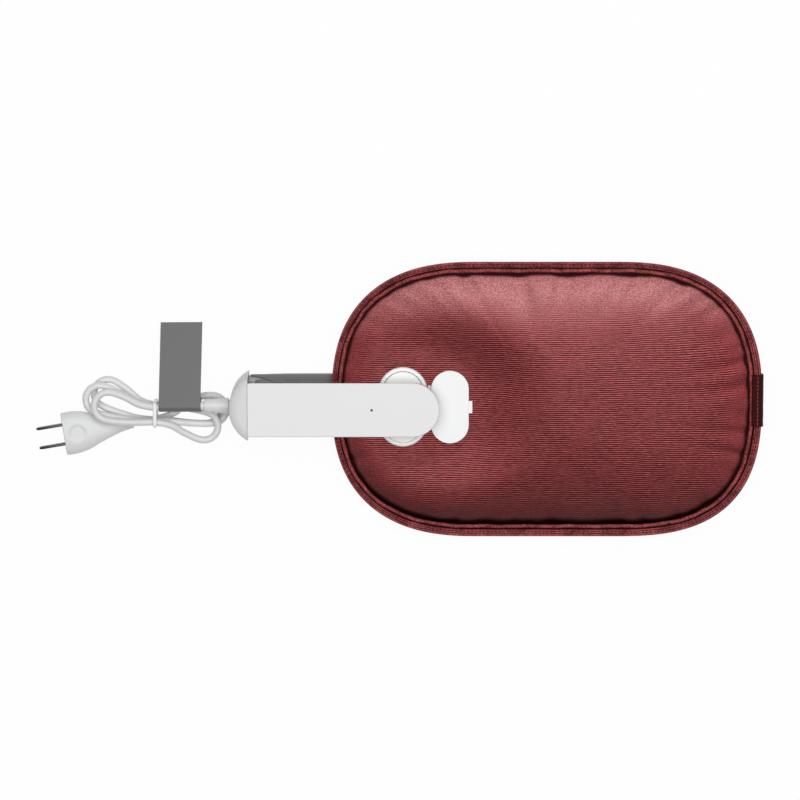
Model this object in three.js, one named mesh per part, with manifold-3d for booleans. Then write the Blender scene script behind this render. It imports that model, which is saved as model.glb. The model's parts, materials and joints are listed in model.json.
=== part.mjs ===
// A sealed hot water bag that heats from the mains: a ribbed fabric bag with a charging port and lid,
// the sprung charging clip that is plugged into it, and the clip's folded lead with its mains plug.
// Millimetres, +Z up. The origin is the middle of the bag's flat underside. +X runs along the bag,
// away from the clip, and +Y runs across it, towards the side on which the lead's label lies.
import * as THREE from 'three';
import { mergeVertices } from 'three/addons/utils/BufferGeometryUtils.js';
import Module from 'manifold-3d';

// Flat sides on round pieces
const round_sides = 20;
const plain_sides = 16;
const small_sides = 12;
const thin_sides = 8;

// Clearances
const gap = 0.3;
const overrun = 1;

// Bag
const bag_length = 280;
const bag_width = 180;
const bag_thickness = 40;
const bag_straight = 90;
const rim_height = 16.5;
const fabric = 1.6;
const bladder_wall = 1.2;
const outline_power = 2.5;
const full_corner_power = 2.72;
const crown_power = 2.2;
const crown_softness = 0.6;
const rest_share = 0.62;
const outline_steps = 44;
const crown_shares = [0.25, 0.47, 0.65, 0.79, 0.89, 0.955];

// Bag edge, as distances in from the outline
const binding_width = 4.6;
const binding_height = 4.6;
const binding_wall = 1.2;
const seam_inset = 2;
const seam_layer = 0.65;
const piping_diameter = 2.6;
const crown_inset = 9;

// Hanging loop
const loop_length = 34;
const loop_width = 8.5;
const loop_ribbon = 1;
const loop_rise = 5.2;
const loop_y = -0.3;

// Charging port, from the seat that it has on the bag
const port_inset = 46.4;
const port_y = -3;
const flange_width = 31.8;
const flange_length = 52;
const flange_height = 3.3;
const recess_width = 26.5;
const recess_length = 47.5;
const recess_depth = 2.2;
const cup_width = 18.8;
const cup_length = 36.8;
const cup_depth = 8;
const cup_wall = 1.5;
const pin_spacing = 18;
const pin_diameter = 3.6;
const pin_length = 5.5;

// Lid
const lid_width = 24.5;
const lid_length = 47.5;
const lid_plate = 1.8;
const lid_rim = 1.4;
const lid_tab_reach = 2.3;
const lid_tab_width = 8;
const strap_reach = 2;
const strap_width = 28;
const strap_thickness = 1.2;

// Clip: x from the mouth of its end cap, z from the floor
const port_reach = 100.3;
const arm_nose = 23.5;
const arm_width = 34.4;
const arm_height = 13;
const arm_wall = 1.8;
const arm_split_share = 0.46;
const opening_angle = 15;
const lower_clearance = 2;
const lower_cover_height = 2;
const lower_body_height = 3.7;
const lower_width = 37;
const pad_height = 2.1;
const pad_width = 38;
const lower_nose = 18;
const web_reach = 23;
const web_width = 34.4;
const pinched_bag = 16.1;
const press_gap = 0.5;

// End cap and hinge
const cap_width = 41;
const cap_reach = 12.3;
const cap_wall = 1.8;
const cap_clearance = 1;
const pivot_back = 3;
const pivot_rise = 4.5;
const knuckle_radius = 4.6;
const hinge_pin_diameter = 3;
const gland_height = 23.4;

// Lead
const cord_diameter = 4.6;
const gland_length = 15.7;
const collar_length = 2.5;
const hank_turns = 3;
const fold_radius = 9.2;
const waist = 5;
const level_step = 5.2;
const tie_from_gland = 29.9;
const tie_aside = -6.6;

// Mains plug
const plug_width = 28;
const plug_height = 14;
const plug_length = 46;
const plug_neck = 7;
const blade_spacing = 12.7;
const blade_length = 17;
const blade_width = 6.3;
const blade_thickness = 1.5;

const wasm = await Module();
wasm.setup();

// Materials
function finish(color, roughness, metalness = 0) {
  return new THREE.MeshStandardMaterial({ color, roughness, metalness });
}
const ribbed_cloth = finish(0x7d3237, 0.6);
const edge_cloth = finish(0x74292f, 0.65);
const dark_ribbon = finish(0x3a1016, 0.5);
const film = finish(0xd8c9b8, 0.4);
const white_plastic = finish(0xe6e6e4, 0.35);
const bright_plastic = finish(0xf0f1ef, 0.3);
const grey_plastic = finish(0xa2a2a2, 0.5);
const grey_rubber = finish(0x7c7c7c, 0.7);
const cord_jacket = finish(0xdedede, 0.45);
const label_film = finish(0x6b6b6b, 0.5);
const bright_steel = finish(0xb8bcc0, 0.3, 1);
const dark_nickel = finish(0x4a4a4c, 0.35, 1);
const brass = finish(0xc9a45c, 0.3, 1);
const board_green = finish(0x2f6b46, 0.5);
const copper_red = finish(0xb03a2e, 0.5);
const blue_sleeve = finish(0x2c5aa0, 0.5);
const amber = finish(0xd9822b, 0.3);

// A closed mesh as a solid that can be cut and joined
function solidOf(geometry) {
  const bare = geometry.clone();
  bare.deleteAttribute('normal');
  bare.deleteAttribute('uv');
  const merged = mergeVertices(bare, 1e-4);
  const corners = merged.index.array;
  const kept = [];
  for (let i = 0; i < corners.length; i += 3) {
    const [a, b, c] = corners.slice(i, i + 3);
    if (a !== b && b !== c && c !== a) kept.push(a, b, c);
  }
  return new wasm.Manifold(
    new wasm.Mesh({
      numProp: 3,
      vertProperties: merged.attributes.position.array,
      triVerts: new Uint32Array(kept),
    }),
  );
}

const finest = 0.01;
function geometryOf(solid) {
  const mesh = solid.simplify(finest).getMesh();
  const geometry = new THREE.BufferGeometry();
  geometry.setAttribute('position', new THREE.BufferAttribute(mesh.vertProperties, 3));
  geometry.setIndex(new THREE.BufferAttribute(mesh.triVerts, 1));
  return geometry;
}

function cut(geometry, ...tools) {
  return geometryOf(tools.reduce((rest, tool) => rest.subtract(solidOf(tool)), solidOf(geometry)));
}

function join(...pieces) {
  return geometryOf(pieces.map(solidOf).reduce((all, piece) => all.add(piece)));
}

function common(first, second) {
  return geometryOf(solidOf(first).intersect(solidOf(second)));
}

function add(parent, name, geometry, material) {
  const mesh = new THREE.Mesh(geometry, material);
  mesh.name = name;
  parent.add(mesh);
  return mesh;
}

// Rings of points joined into one closed surface: a ring of one point is a pole,
// and a closed row of rings joins its last ring to its first. Each four-sided face is split
// along the diagonal that is shorter on plan, so layers over one grid keep parallel faces
const onPlan = (p, q) => Math.hypot(p.x - q.x, p.y - q.y);
function loft(rings, closed = false) {
  const points = rings.flat();
  const starts = [];
  let count = 0;
  for (const ring of rings) {
    starts.push(count);
    count += ring.length;
  }
  const faces = [];
  const last = closed ? rings.length : rings.length - 1;
  for (let i = 0; i < last; i++) {
    const next = (i + 1) % rings.length;
    const steps = Math.max(rings[i].length, rings[next].length);
    for (let k = 0; k < steps; k++) {
      const onward = (k + 1) % steps;
      const a = starts[i] + (k % rings[i].length);
      const b = starts[i] + (onward % rings[i].length);
      const c = starts[next] + (k % rings[next].length);
      const d = starts[next] + (onward % rings[next].length);
      if (a === b) faces.push([a, d, c]);
      else if (c === d) faces.push([a, b, c]);
      else {
        const bends = onPlan(points[b], points[c]) < onPlan(points[a], points[d]);
        if (bends) faces.push([a, b, c], [b, d, c]);
        else faces.push([a, b, d], [a, d, c]);
      }
    }
  }
  const volume = faces.reduce((sum, [a, b, c]) => {
    return sum + points[a].dot(points[b].clone().cross(points[c]));
  }, 0);
  const outward = volume > 0 ? faces : faces.map(([a, b, c]) => [a, c, b]);
  const geometry = new THREE.BufferGeometry().setFromPoints(points);
  geometry.setIndex(outward.flat());
  return geometry;
}

function place(geometry, x, y, z) {
  return geometry.translate(x, y, z);
}

function block(x0, x1, y0, y1, z0, z1) {
  const box = new THREE.BoxGeometry(x1 - x0, y1 - y0, z1 - z0);
  return place(box, (x0 + x1) / 2, (y0 + y1) / 2, (z0 + z1) / 2);
}

function raised(shape, z0, z1, curveSegments = thin_sides) {
  const geometry = new THREE.ExtrudeGeometry(shape, { depth: z1 - z0, bevelEnabled: false, curveSegments });
  return place(geometry, 0, 0, z0);
}

// A side view, drawn as x and z, given a thickness along Y
function sideways(shape, y0, y1, curveSegments = thin_sides) {
  const geometry = new THREE.ExtrudeGeometry(shape, { depth: y1 - y0, bevelEnabled: false, curveSegments });
  geometry.rotateX(Math.PI / 2);
  return place(geometry, 0, y1, 0);
}

// An end view, drawn as y and z, given a length along X
const end_view = new THREE.Matrix4().makeBasis(
  new THREE.Vector3(0, 1, 0),
  new THREE.Vector3(0, 0, 1),
  new THREE.Vector3(1, 0, 0),
);
function lengthways(shape, x0, x1, curveSegments = thin_sides) {
  const geometry = new THREE.ExtrudeGeometry(shape, { depth: x1 - x0, bevelEnabled: false, curveSegments });
  geometry.applyMatrix4(end_view);
  return place(geometry, x0, 0, 0);
}

// A stadium whose long axis lies along Y
function stadium(width, length) {
  const radius = width / 2;
  const straight = length / 2 - radius;
  const shape = new THREE.Shape();
  shape.moveTo(radius, -straight);
  shape.lineTo(radius, straight);
  shape.absarc(0, straight, radius, 0, Math.PI);
  shape.lineTo(-radius, -straight);
  shape.absarc(0, -straight, radius, Math.PI, 2 * Math.PI);
  return shape;
}

function disc(radius) {
  const shape = new THREE.Shape();
  shape.absarc(0, 0, radius, 0, 2 * Math.PI);
  return shape;
}

function rod(radius, z0, z1, sides = plain_sides) {
  const geometry = new THREE.CylinderGeometry(radius, radius, z1 - z0, sides);
  geometry.rotateX(Math.PI / 2);
  return place(geometry, 0, 0, (z0 + z1) / 2);
}

function crossRod(radius, x, z, y0, y1, sides = plain_sides) {
  const geometry = new THREE.CylinderGeometry(radius, radius, y1 - y0, sides);
  return place(geometry, x, (y0 + y1) / 2, z);
}

// A tube along a smooth curve through points, with steps along it
function tube(points, radius, sides, steps) {
  const outline = new THREE.Shape();
  for (let i = 0; i < sides; i++) {
    const turn = (2 * Math.PI * i) / sides;
    const x = radius * Math.cos(turn);
    const y = radius * Math.sin(turn);
    if (i === 0) outline.moveTo(x, y);
    else outline.lineTo(x, y);
  }
  outline.closePath();
  const route = new THREE.CatmullRomCurve3(points, false, 'centripetal');
  return new THREE.ExtrudeGeometry(outline, { steps, extrudePath: route, curveSegments: 1 });
}

// Heights that stack up from the floor through the clip and the bag
const pad_top = lower_clearance + lower_cover_height + lower_body_height + pad_height + 2 * gap;
const lift_height = pad_top + press_gap;
const seat_height = lift_height + pinched_bag;
const flange_bottom = seat_height + gap;
const flange_top = flange_bottom + flange_height;
const recess_floor = flange_top - recess_depth;
const cup_floor = flange_top - cup_depth;
const cup_bottom = cup_floor - cup_wall;
const head_bottom = recess_floor + gap;
const head_height = 3.5;
const arm_bottom = head_bottom + head_height + gap;
const arm_top = arm_bottom + arm_height;
const arm_split = arm_bottom + arm_height * arm_split_share;

// Places along X
const port_x = port_inset - bag_length / 2;
const clip_x = port_x - port_reach;
const arm_tip = port_reach + arm_nose;

// Bag outline: straight long sides and full round ends, with one corner by the loop fuller than the rest
function outlinePoint(turn) {
  const along = Math.cos(turn);
  const across = Math.sin(turn);
  const power = along > 0 && across < 0 ? full_corner_power : outline_power;
  const end = (bag_length - bag_straight) / 2;
  const x = Math.sign(along) * (bag_straight / 2 + end * Math.abs(along) ** (2 / power));
  const y = (Math.sign(across) * bag_width * Math.abs(across) ** (2 / power)) / 2;
  return new THREE.Vector2(x, y);
}

const fine_steps = 1440;
const fine_outline = [];
for (let i = 0; i <= fine_steps; i++) {
  fine_outline.push(outlinePoint((2 * Math.PI * i) / fine_steps));
}
const travelled = [0];
for (let i = 1; i <= fine_steps; i++) {
  travelled.push(travelled[i - 1] + fine_outline[i].distanceTo(fine_outline[i - 1]));
}
function outlineAt(distance) {
  const around = travelled[fine_steps];
  const wanted = ((distance % around) + around) % around;
  let i = 1;
  while (i < fine_steps && travelled[i] < wanted) i++;
  const t = (wanted - travelled[i - 1]) / (travelled[i] - travelled[i - 1]);
  return fine_outline[i - 1].clone().lerp(fine_outline[i], t);
}
const outline = [];
for (let i = 0; i < outline_steps; i++) {
  const step = travelled[fine_steps] / outline_steps;
  const ahead = outlineAt((i + 0.5) * step);
  const behind = outlineAt((i - 0.5) * step);
  const inward = ahead.sub(behind).normalize();
  outline.push({ point: outlineAt(i * step), inward: new THREE.Vector2(-inward.y, inward.x) });
}

function edgeRing(inset, z) {
  return outline.map(({ point, inward }) => {
    const p = point.clone().addScaledVector(inward, inset);
    return new THREE.Vector3(p.x, p.y, z);
  });
}

// The clip presses the bag flat under the port and lifts it over the lower arm
const press_flat = 12;
const press_fade = 45;
const press_stretch = 1.6;
const lift_flat = 12;
const lift_fade = 40;
const press_rim_share = 0.85;
function portPress(x, y, share) {
  const radius = flange_width / 2;
  const aside = Math.max(Math.abs(y - port_y) - (flange_length / 2 - radius), 0);
  const away = Math.hypot((x - port_x) / press_stretch, aside) - radius;
  const near = 1 - THREE.MathUtils.smoothstep(away, press_flat, press_fade);
  return near * (1 - THREE.MathUtils.smoothstep(share, press_rim_share, 1));
}
function armLift(x, y) {
  const radius = pad_width / 2;
  const end = port_x + lower_nose - radius;
  const away = Math.hypot(Math.max(x - end, 0), y - port_y) - radius;
  return 1 - THREE.MathUtils.smoothstep(away, lift_flat, lift_fade);
}

// Each layer of the bag lies at a depth under the cloth's outside and ends at a lip by the seam,
// some way in from the outline, and the inner layers leave out the outermost ring
const rings = crown_shares.length;
const cloth_outside = { depth: 0, lip: gap / 2 + seam_layer, inset: crown_inset, rings };
const cloth_inside = { depth: fabric, lip: gap / 2, inset: crown_inset + fabric, rings };
const bladder_outside = { depth: fabric + gap, lip: 0, inset: cloth_inside.inset + 3 * gap, rings };
const bladder_inside = {
  depth: bladder_outside.depth + bladder_wall,
  lip: -bladder_wall / 2,
  inset: bladder_outside.inset + 2 * bladder_wall,
  rings: rings - 1,
};

// Outside heights of the two panels
function topHeight(x, y, share) {
  const base = rim_height + cloth_outside.lip;
  const crown = (1 - share ** crown_power) ** crown_softness;
  const free = base + (bag_thickness - base) * crown;
  return THREE.MathUtils.lerp(free, seat_height, portPress(x, y, share));
}
function underHeight(x, y, share) {
  const base = rim_height - cloth_outside.lip;
  const out = Math.max(share - rest_share, 0) / (1 - rest_share);
  const free = base * out ** 2;
  return free + Math.max(lift_height - free, 0) * armLift(x, y);
}

// The rings of a layer, from the middle out, on the upper side (1) or the under side (-1)
function bagSurface(layer, side) {
  const height = side > 0 ? topHeight : underHeight;
  const middle = new THREE.Vector3(0, 0, height(0, 0, 0) - side * layer.depth);
  const shares = crown_shares.slice(0, layer.rings);
  const circles = shares.map((share) => {
    return edgeRing(crown_inset, 0).map((p) => {
      const x = p.x * share;
      const y = p.y * share;
      return new THREE.Vector3(x, y, height(x, y, share) - side * layer.depth);
    });
  });
  return [[middle], ...circles];
}

const object = new THREE.Group();

// Bag cover: two ribbed fabric panels sewn together at a flat seam
const bag = new THREE.Group();
object.add(bag);
const port_hole_width = cup_width + 2 * cup_wall + 2 * gap;
const port_hole_length = cup_length + 2 * cup_wall + 2 * gap;
function portHole() {
  const outline = stadium(port_hole_width, port_hole_length);
  return place(raised(outline, lift_height + pinched_bag / 2, bag_thickness), port_x, port_y, 0);
}
function coverPanel(side) {
  const seam = (layer, inset) => edgeRing(inset, rim_height + side * layer.lip);
  return loft([
    ...bagSurface(cloth_outside, side),
    seam(cloth_outside, cloth_outside.inset),
    seam(cloth_outside, seam_inset),
    seam(cloth_inside, seam_inset),
    seam(cloth_inside, cloth_inside.inset),
    ...bagSurface(cloth_inside, side).reverse(),
  ]);
}
add(bag, 'cover_top', cut(coverPanel(1), portHole()), ribbed_cloth);
add(bag, 'cover_bottom', coverPanel(-1), ribbed_cloth);

// Edge binding: a tape folded round the raw seam
const seam_half = cloth_outside.lip + gap;
const binding_half = binding_height / 2;
const binding_corner = binding_wall / 2;
const binding_section = [
  [0, binding_corner - binding_half],
  [0, binding_half - binding_corner],
  [binding_corner, binding_half],
  [binding_width - binding_corner, binding_half],
  [binding_width, binding_half - binding_corner],
  [binding_width, seam_half],
  [seam_inset - gap, seam_half],
  [seam_inset - gap, -seam_half],
  [binding_width, -seam_half],
  [binding_width, binding_corner - binding_half],
  [binding_width - binding_corner, -binding_half],
  [binding_corner, -binding_half],
];
add(
  bag,
  'edge_binding',
  loft(binding_section.map(([inset, z]) => edgeRing(inset, rim_height + z)), true),
  edge_cloth,
);

// Seam piping: a corded roll sewn on top of the seam, between the binding and the crown
const piping_radius = piping_diameter / 2;
const piping_inset = binding_width + gap + piping_radius;
const piping_height = rim_height + cloth_outside.lip + gap + piping_radius;
const piping_sides = 6;
const piping_rings = [];
for (let i = 0; i < piping_sides; i++) {
  const turn = (2 * Math.PI * i) / piping_sides;
  const inset = piping_inset + piping_radius * Math.cos(turn);
  piping_rings.push(edgeRing(inset, piping_height + piping_radius * Math.sin(turn)));
}
add(bag, 'seam_piping', loft(piping_rings, true), edge_cloth);

// Hanging loop: a ribbon folded over the bag's far edge and sewn through the seam
const loop_back = bag_length / 2 + 2 * gap;
const loop_under = rim_height - binding_half - gap;
const loop_over = piping_height + piping_radius + gap;
const loop_shape = new THREE.Shape();
loop_shape.moveTo(loop_back + loop_ribbon, loop_under - loop_ribbon);
loop_shape.lineTo(loop_back + loop_ribbon, loop_over + loop_ribbon);
loop_shape.lineTo(loop_back + loop_ribbon - loop_width, loop_over + loop_ribbon);
loop_shape.lineTo(loop_back + loop_ribbon - loop_width, loop_over);
loop_shape.lineTo(loop_back, loop_over);
loop_shape.lineTo(loop_back, loop_under);
loop_shape.lineTo(loop_back - loop_rise, loop_under);
loop_shape.lineTo(loop_back - loop_rise, loop_under - loop_ribbon);
add(
  bag,
  'hanging_loop',
  sideways(loop_shape, loop_y - loop_length / 2, loop_y + loop_length / 2),
  dark_ribbon,
);

// Bladder: the welded film bag that holds the water
function pillow(layer) {
  return loft([
    ...bagSurface(layer, 1),
    edgeRing(layer.inset, rim_height),
    ...bagSurface(layer, -1).reverse(),
  ]);
}
add(bag, 'bladder', cut(pillow(bladder_outside), pillow(bladder_inside), portHole()), film);

// Port: a moulded flange with a shallow recess and a deep cup that goes through the cover
const port = new THREE.Group();
port.position.set(port_x, port_y, 0);
object.add(port);
add(
  port,
  'port_body',
  cut(
    join(
      raised(stadium(flange_width, flange_length), flange_bottom, flange_top, small_sides),
      raised(
        stadium(cup_width + 2 * cup_wall, cup_length + 2 * cup_wall),
        cup_bottom,
        flange_bottom + overrun,
      ),
    ),
    raised(stadium(recess_width, recess_length), recess_floor, flange_top + overrun, small_sides),
    raised(stadium(cup_width, cup_length), cup_floor, flange_top + overrun),
    place(rod(pin_diameter / 2 + gap, cup_bottom - overrun, cup_floor + overrun), 0, pin_spacing / 2, 0),
    place(rod(pin_diameter / 2 + gap, cup_bottom - overrun, cup_floor + overrun), 0, -pin_spacing / 2, 0),
  ),
  bright_plastic,
);

// Gasket and clamp ring: they hold the bladder up against the flange from inside
const gasket_height = 0.7;
const ring_height = 1.7;
const ring_width = 31;
const ring_length = 50;
const gasket_top = seat_height - bladder_inside.depth - gap;
function portRing(z0, z1) {
  const hole = raised(stadium(port_hole_width, port_hole_length), z0 - overrun, z1 + overrun);
  return cut(raised(stadium(ring_width, ring_length), z0, z1), hole);
}
const ring_top = gasket_top - gasket_height - gap;
add(port, 'port_gasket', portRing(gasket_top - gasket_height, gasket_top), grey_rubber);
add(port, 'port_clamp_ring', portRing(ring_top - ring_height, ring_top), white_plastic);

// Contact pins: they stand up in the cup and pass through its floor to the heater
const pin_tail = 2.4;
const pin_head = 0.8;
[1, -1].forEach((side, i) => {
  const pin = join(
    rod(pin_diameter / 2, cup_bottom - pin_tail, cup_floor + pin_length),
    rod(pin_diameter / 2 + pin_head, cup_floor + gap, cup_floor + gap + pin_head),
  );
  add(port, `contact_pin_${i + 1}`, place(pin, 0, (side * pin_spacing) / 2, 0), brass);
});

// Heater: a bent tube in a slotted guard under the port, with its thermostat and thermal fuse
const heater_reach = 62;
const heater_diameter = 4;
const heater_spread = 24;
const heater_drop = 0.9;
const heater_level = cup_bottom - heater_drop - heater_diameter / 2;
const heater_start = 4;
const heater_turn = heater_spread / 2;
const heater_points = [];
const heater_turn_steps = 4;
const heater_steps = 26;
heater_points.push(new THREE.Vector3(heater_start, heater_turn, heater_level));
heater_points.push(new THREE.Vector3(heater_reach / 2, heater_turn, heater_level));
for (let i = 0; i <= heater_turn_steps; i++) {
  const turn = Math.PI * (0.5 - i / heater_turn_steps);
  const x = heater_reach - heater_turn + heater_turn * Math.cos(turn);
  heater_points.push(new THREE.Vector3(x, heater_turn * Math.sin(turn), heater_level));
}
heater_points.push(new THREE.Vector3(heater_reach / 2, -heater_turn, heater_level));
heater_points.push(new THREE.Vector3(heater_start, -heater_turn, heater_level));
add(port, 'heater_tube', tube(heater_points, heater_diameter / 2, thin_sides, heater_steps), bright_steel);

const guard_wall = 1;
const guard_half = heater_turn + heater_diameter / 2 + 3 * gap + guard_wall;
const guard_end = heater_reach + heater_diameter / 2 + 3 * gap + guard_wall;
const guard_start = heater_start - overrun;
const guard_bottom = heater_level - heater_diameter / 2 - gap - guard_wall;
const guard_top = cup_bottom - gap;
const guard_slots = 6;
const slot_share = 0.5;
const slot_step = (guard_end - guard_start) / (guard_slots + 1);
const slots = [];
for (let i = 1; i <= guard_slots; i++) {
  const middle = guard_start + i * slot_step;
  const half = (slot_step * slot_share) / 2;
  slots.push(
    block(
      middle - half,
      middle + half,
      2 * guard_wall - guard_half,
      guard_half - 2 * guard_wall,
      guard_bottom - overrun,
      guard_bottom + guard_wall + overrun,
    ),
  );
}
add(
  port,
  'heater_guard',
  cut(
    block(guard_start, guard_end, -guard_half, guard_half, guard_bottom, guard_top),
    block(
      guard_start - overrun,
      guard_end - guard_wall,
      guard_wall - guard_half,
      guard_half - guard_wall,
      guard_bottom + guard_wall,
      guard_top + overrun,
    ),
    ...slots,
  ),
  white_plastic,
);

const thermostat_radius = 4.6;
const thermostat_height = 3.4;
const thermostat = rod(thermostat_radius, guard_top - thermostat_height, guard_top);
add(port, 'thermostat', place(thermostat, thermostat_radius + heater_start, 0, 0), bright_steel);
const fuse_radius = 1.6;
const fuse_length = 11;
const fuse_x = heater_start + 2 * thermostat_radius + 2 * gap;
const fuse = new THREE.CylinderGeometry(fuse_radius, fuse_radius, fuse_length, small_sides);
fuse.rotateZ(Math.PI / 2);
add(port, 'thermal_fuse', place(fuse, fuse_x + fuse_length / 2, 0, guard_top - fuse_radius), amber);

// Lid: hinged on a strap at the flange, lying open on the cloth
const strap_level = flange_top - strap_thickness / 2;
const strap_end = flange_width / 2 + strap_reach;
const strap = new THREE.Shape();
strap.moveTo(flange_width / 2 + gap, strap_level - strap_thickness / 2);
strap.lineTo(strap_end - strap_thickness / 2, strap_level - strap_thickness / 2);
strap.absarc(strap_end - strap_thickness / 2, strap_level, strap_thickness / 2, -Math.PI / 2, Math.PI / 2);
strap.lineTo(flange_width / 2 + gap, strap_level + strap_thickness / 2);
add(port, 'lid_strap', sideways(strap, -strap_width / 2, strap_width / 2, thin_sides), bright_plastic);

const lid_hinge_x = strap_end - strap_thickness / 2;
const lid_edge = strap_thickness / 2 + gap;
const lid_under = lid_plate / 2 + lid_rim;
const lid_far = lid_edge + lid_width + lid_tab_reach;
function clothUnderLid(reach) {
  const x = port_x + lid_hinge_x + reach;
  const edge = edgeRing(cloth_outside.inset, 0);
  const share = Math.abs(x) / Math.max(...edge.map((p) => p.x));
  return topHeight(x, port_y, share);
}
const lid_lie = 1.2;
const lid_slope = Math.atan2(clothUnderLid(lid_far) + lid_lie + lid_under - strap_level, lid_far);
const lid = new THREE.Group();
lid.position.set(lid_hinge_x, 0, strap_level);
lid.rotation.y = -lid_slope;
port.add(lid);
const lid_rim_wall = 1.4;
const lid_rim_inset = 1.6;
const lid_middle = lid_edge + lid_width / 2;
function lidRing(inset) {
  return stadium(lid_width - 2 * inset, lid_length - 2 * inset);
}
const lid_body = join(
  raised(lidRing(0), -lid_plate / 2, lid_plate / 2),
  raised(lidRing(lid_rim_inset), -lid_under, 0),
  block(
    lid_width / 2 - overrun,
    lid_width / 2 + lid_tab_reach,
    -lid_tab_width / 2,
    lid_tab_width / 2,
    -lid_plate / 2,
    lid_plate / 4,
  ),
);
add(
  lid,
  'port_lid',
  place(
    cut(
      lid_body,
      raised(lidRing(lid_rim_inset + lid_rim_wall), -lid_under - overrun, -lid_plate / 2),
    ),
    lid_middle,
    0,
    0,
  ),
  bright_plastic,
);

// Clip: the lower arm, end cap and hinge stand still, and the upper arm swings up on the pin
const clip = new THREE.Group();
clip.position.set(clip_x, port_y, 0);
object.add(clip);
const pivot_x = -pivot_back;
const pivot_z = arm_bottom + pivot_rise;
const cap_top = pivot_z + knuckle_radius + 2 * gap + cap_wall;
const opening = THREE.MathUtils.degToRad(opening_angle);

// Plan of an arm, from the cap to its round nose
function armPlan(start, tip, width) {
  const radius = width / 2;
  const shape = new THREE.Shape();
  shape.moveTo(start, -radius);
  shape.lineTo(tip - radius, -radius);
  shape.absarc(tip - radius, 0, radius, -Math.PI / 2, Math.PI / 2);
  shape.lineTo(start, radius);
  return shape;
}

// The back of the upper arm leans forward above the pin, so it meets the cap only when fully open
const arm_back = 0.4;
function backWedge() {
  const lean = (arm_top + overrun - pivot_z) * Math.tan(opening);
  const wedge = new THREE.Shape();
  wedge.moveTo(arm_back, pivot_z);
  wedge.lineTo(arm_back + lean, arm_top + overrun);
  wedge.lineTo(arm_back - overrun, arm_top + overrun);
  wedge.lineTo(arm_back - overrun, pivot_z);
  return sideways(wedge, -arm_width, arm_width);
}

const knuckle_inner = 4.3;
const knuckle_outer = 8;
const neck_height = 3.6;
const arm_edge = 1.5;
const nose_slope_start = port_reach + recess_width / 2 + gap;
const board_start = 36;
const board_length = 50;
const board_width = 20;
const board_thickness = 1.6;
const led_x = 80.1;
const light_pipe_radius = 0.6;
const screw_radius = 1.2;
const screw_head_radius = 2.2;
const screw_head_height = 1.4;
const boss_radius = 3;
const boss_x = 24;
const arm_screws = [
  [boss_x, arm_width / 2 - arm_wall - boss_radius],
  [boss_x, boss_radius + arm_wall - arm_width / 2],
];
const connector_screw_x = 7;
const connector_screw_y = 9;

// Upper arm, top shell: carries the indicator's light pipe
const top_shell_bevel = {
  depth: 2 * (arm_top - arm_split - arm_edge),
  bevelEnabled: true,
  bevelThickness: arm_edge,
  bevelSize: arm_edge,
  bevelOffset: -arm_edge,
  bevelSegments: 2,
  curveSegments: 8,
};
const top_shell_block = new THREE.ExtrudeGeometry(armPlan(arm_back, arm_tip, arm_width), top_shell_bevel);
const top_shell_bottom = arm_split + gap;
place(top_shell_block, 0, 0, arm_top - arm_edge - top_shell_bevel.depth);
const shell_bottom_cut = block(
  -arm_tip,
  2 * arm_tip,
  -arm_width,
  arm_width,
  arm_split - arm_height,
  top_shell_bottom,
);
const top_cavity = raised(
  armPlan(arm_back + 2 * arm_wall, arm_tip - arm_wall, arm_width - 2 * arm_wall),
  arm_split - overrun,
  arm_top - arm_wall,
);

const knuckle_room = crossRod(
  knuckle_radius + gap,
  pivot_x,
  pivot_z,
  -knuckle_outer - gap,
  knuckle_outer + gap,
  round_sides,
);

// The lip at the back of the top shell lies over the cap's edge and covers the room it opens into
const top_lip = block(
  -gap,
  arm_back + 2 * arm_wall,
  arm_edge - arm_width / 2,
  arm_width / 2 - arm_edge,
  cap_top + gap,
  arm_top,
);
const jaw = new THREE.Group();
clip.add(jaw);
add(
  jaw,
  'arm_top_shell',
  cut(
    join(cut(top_shell_block, shell_bottom_cut, top_cavity, backWedge()), top_lip),
    knuckle_room,
    place(rod(light_pipe_radius + gap, arm_split, arm_top + overrun, small_sides), led_x, 0, 0),
  ),
  white_plastic,
);

// Upper arm, bottom shell: carries the knuckles, the board and the connector
const knuckle = (y0, y1) => crossRod(knuckle_radius, pivot_x, pivot_z, y0, y1, round_sides);
const neck = block(
  pivot_x,
  arm_back + arm_wall / 2,
  -knuckle_outer,
  knuckle_outer,
  pivot_z - neck_height,
  arm_split - gap,
);
const nose_cut = new THREE.Shape();
nose_cut.moveTo(nose_slope_start, arm_bottom);
nose_cut.lineTo(nose_slope_start, arm_bottom - overrun);
nose_cut.lineTo(arm_tip + overrun, arm_bottom - overrun);
nose_cut.lineTo(arm_tip + overrun, arm_split + gap);
nose_cut.lineTo(arm_tip, arm_split + gap);
const bottom_cavity = raised(
  armPlan(arm_back + arm_wall, nose_slope_start, arm_width - 2 * arm_wall),
  arm_bottom + arm_wall,
  arm_top,
);
const coil_room = block(
  pivot_x - knuckle_radius - overrun,
  arm_back + gap,
  -knuckle_inner,
  knuckle_inner,
  pivot_z - 2 * knuckle_radius,
  arm_top,
);
const connector_holes = [1, -1].map((side) => {
  return place(
    rod(screw_radius + gap, arm_bottom - overrun, arm_bottom + arm_wall + overrun, small_sides),
    port_reach + connector_screw_x,
    side * connector_screw_y,
    0,
  );
});
const shell_screw_holes = arm_screws.map(([x, y]) => {
  return place(rod(screw_radius + gap, arm_bottom - overrun, arm_split + overrun, small_sides), x, y, 0);
});
const shell_bosses = arm_screws.map(([x, y]) => {
  return place(rod(boss_radius, arm_bottom + overrun, arm_split, small_sides), x, y, 0);
});
const shell_screw_sinks = arm_screws.map(([x, y]) => {
  return place(
    rod(screw_head_radius + gap, arm_bottom - overrun, arm_bottom + screw_head_height + gap, small_sides),
    x,
    y,
    0,
  );
});
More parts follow.
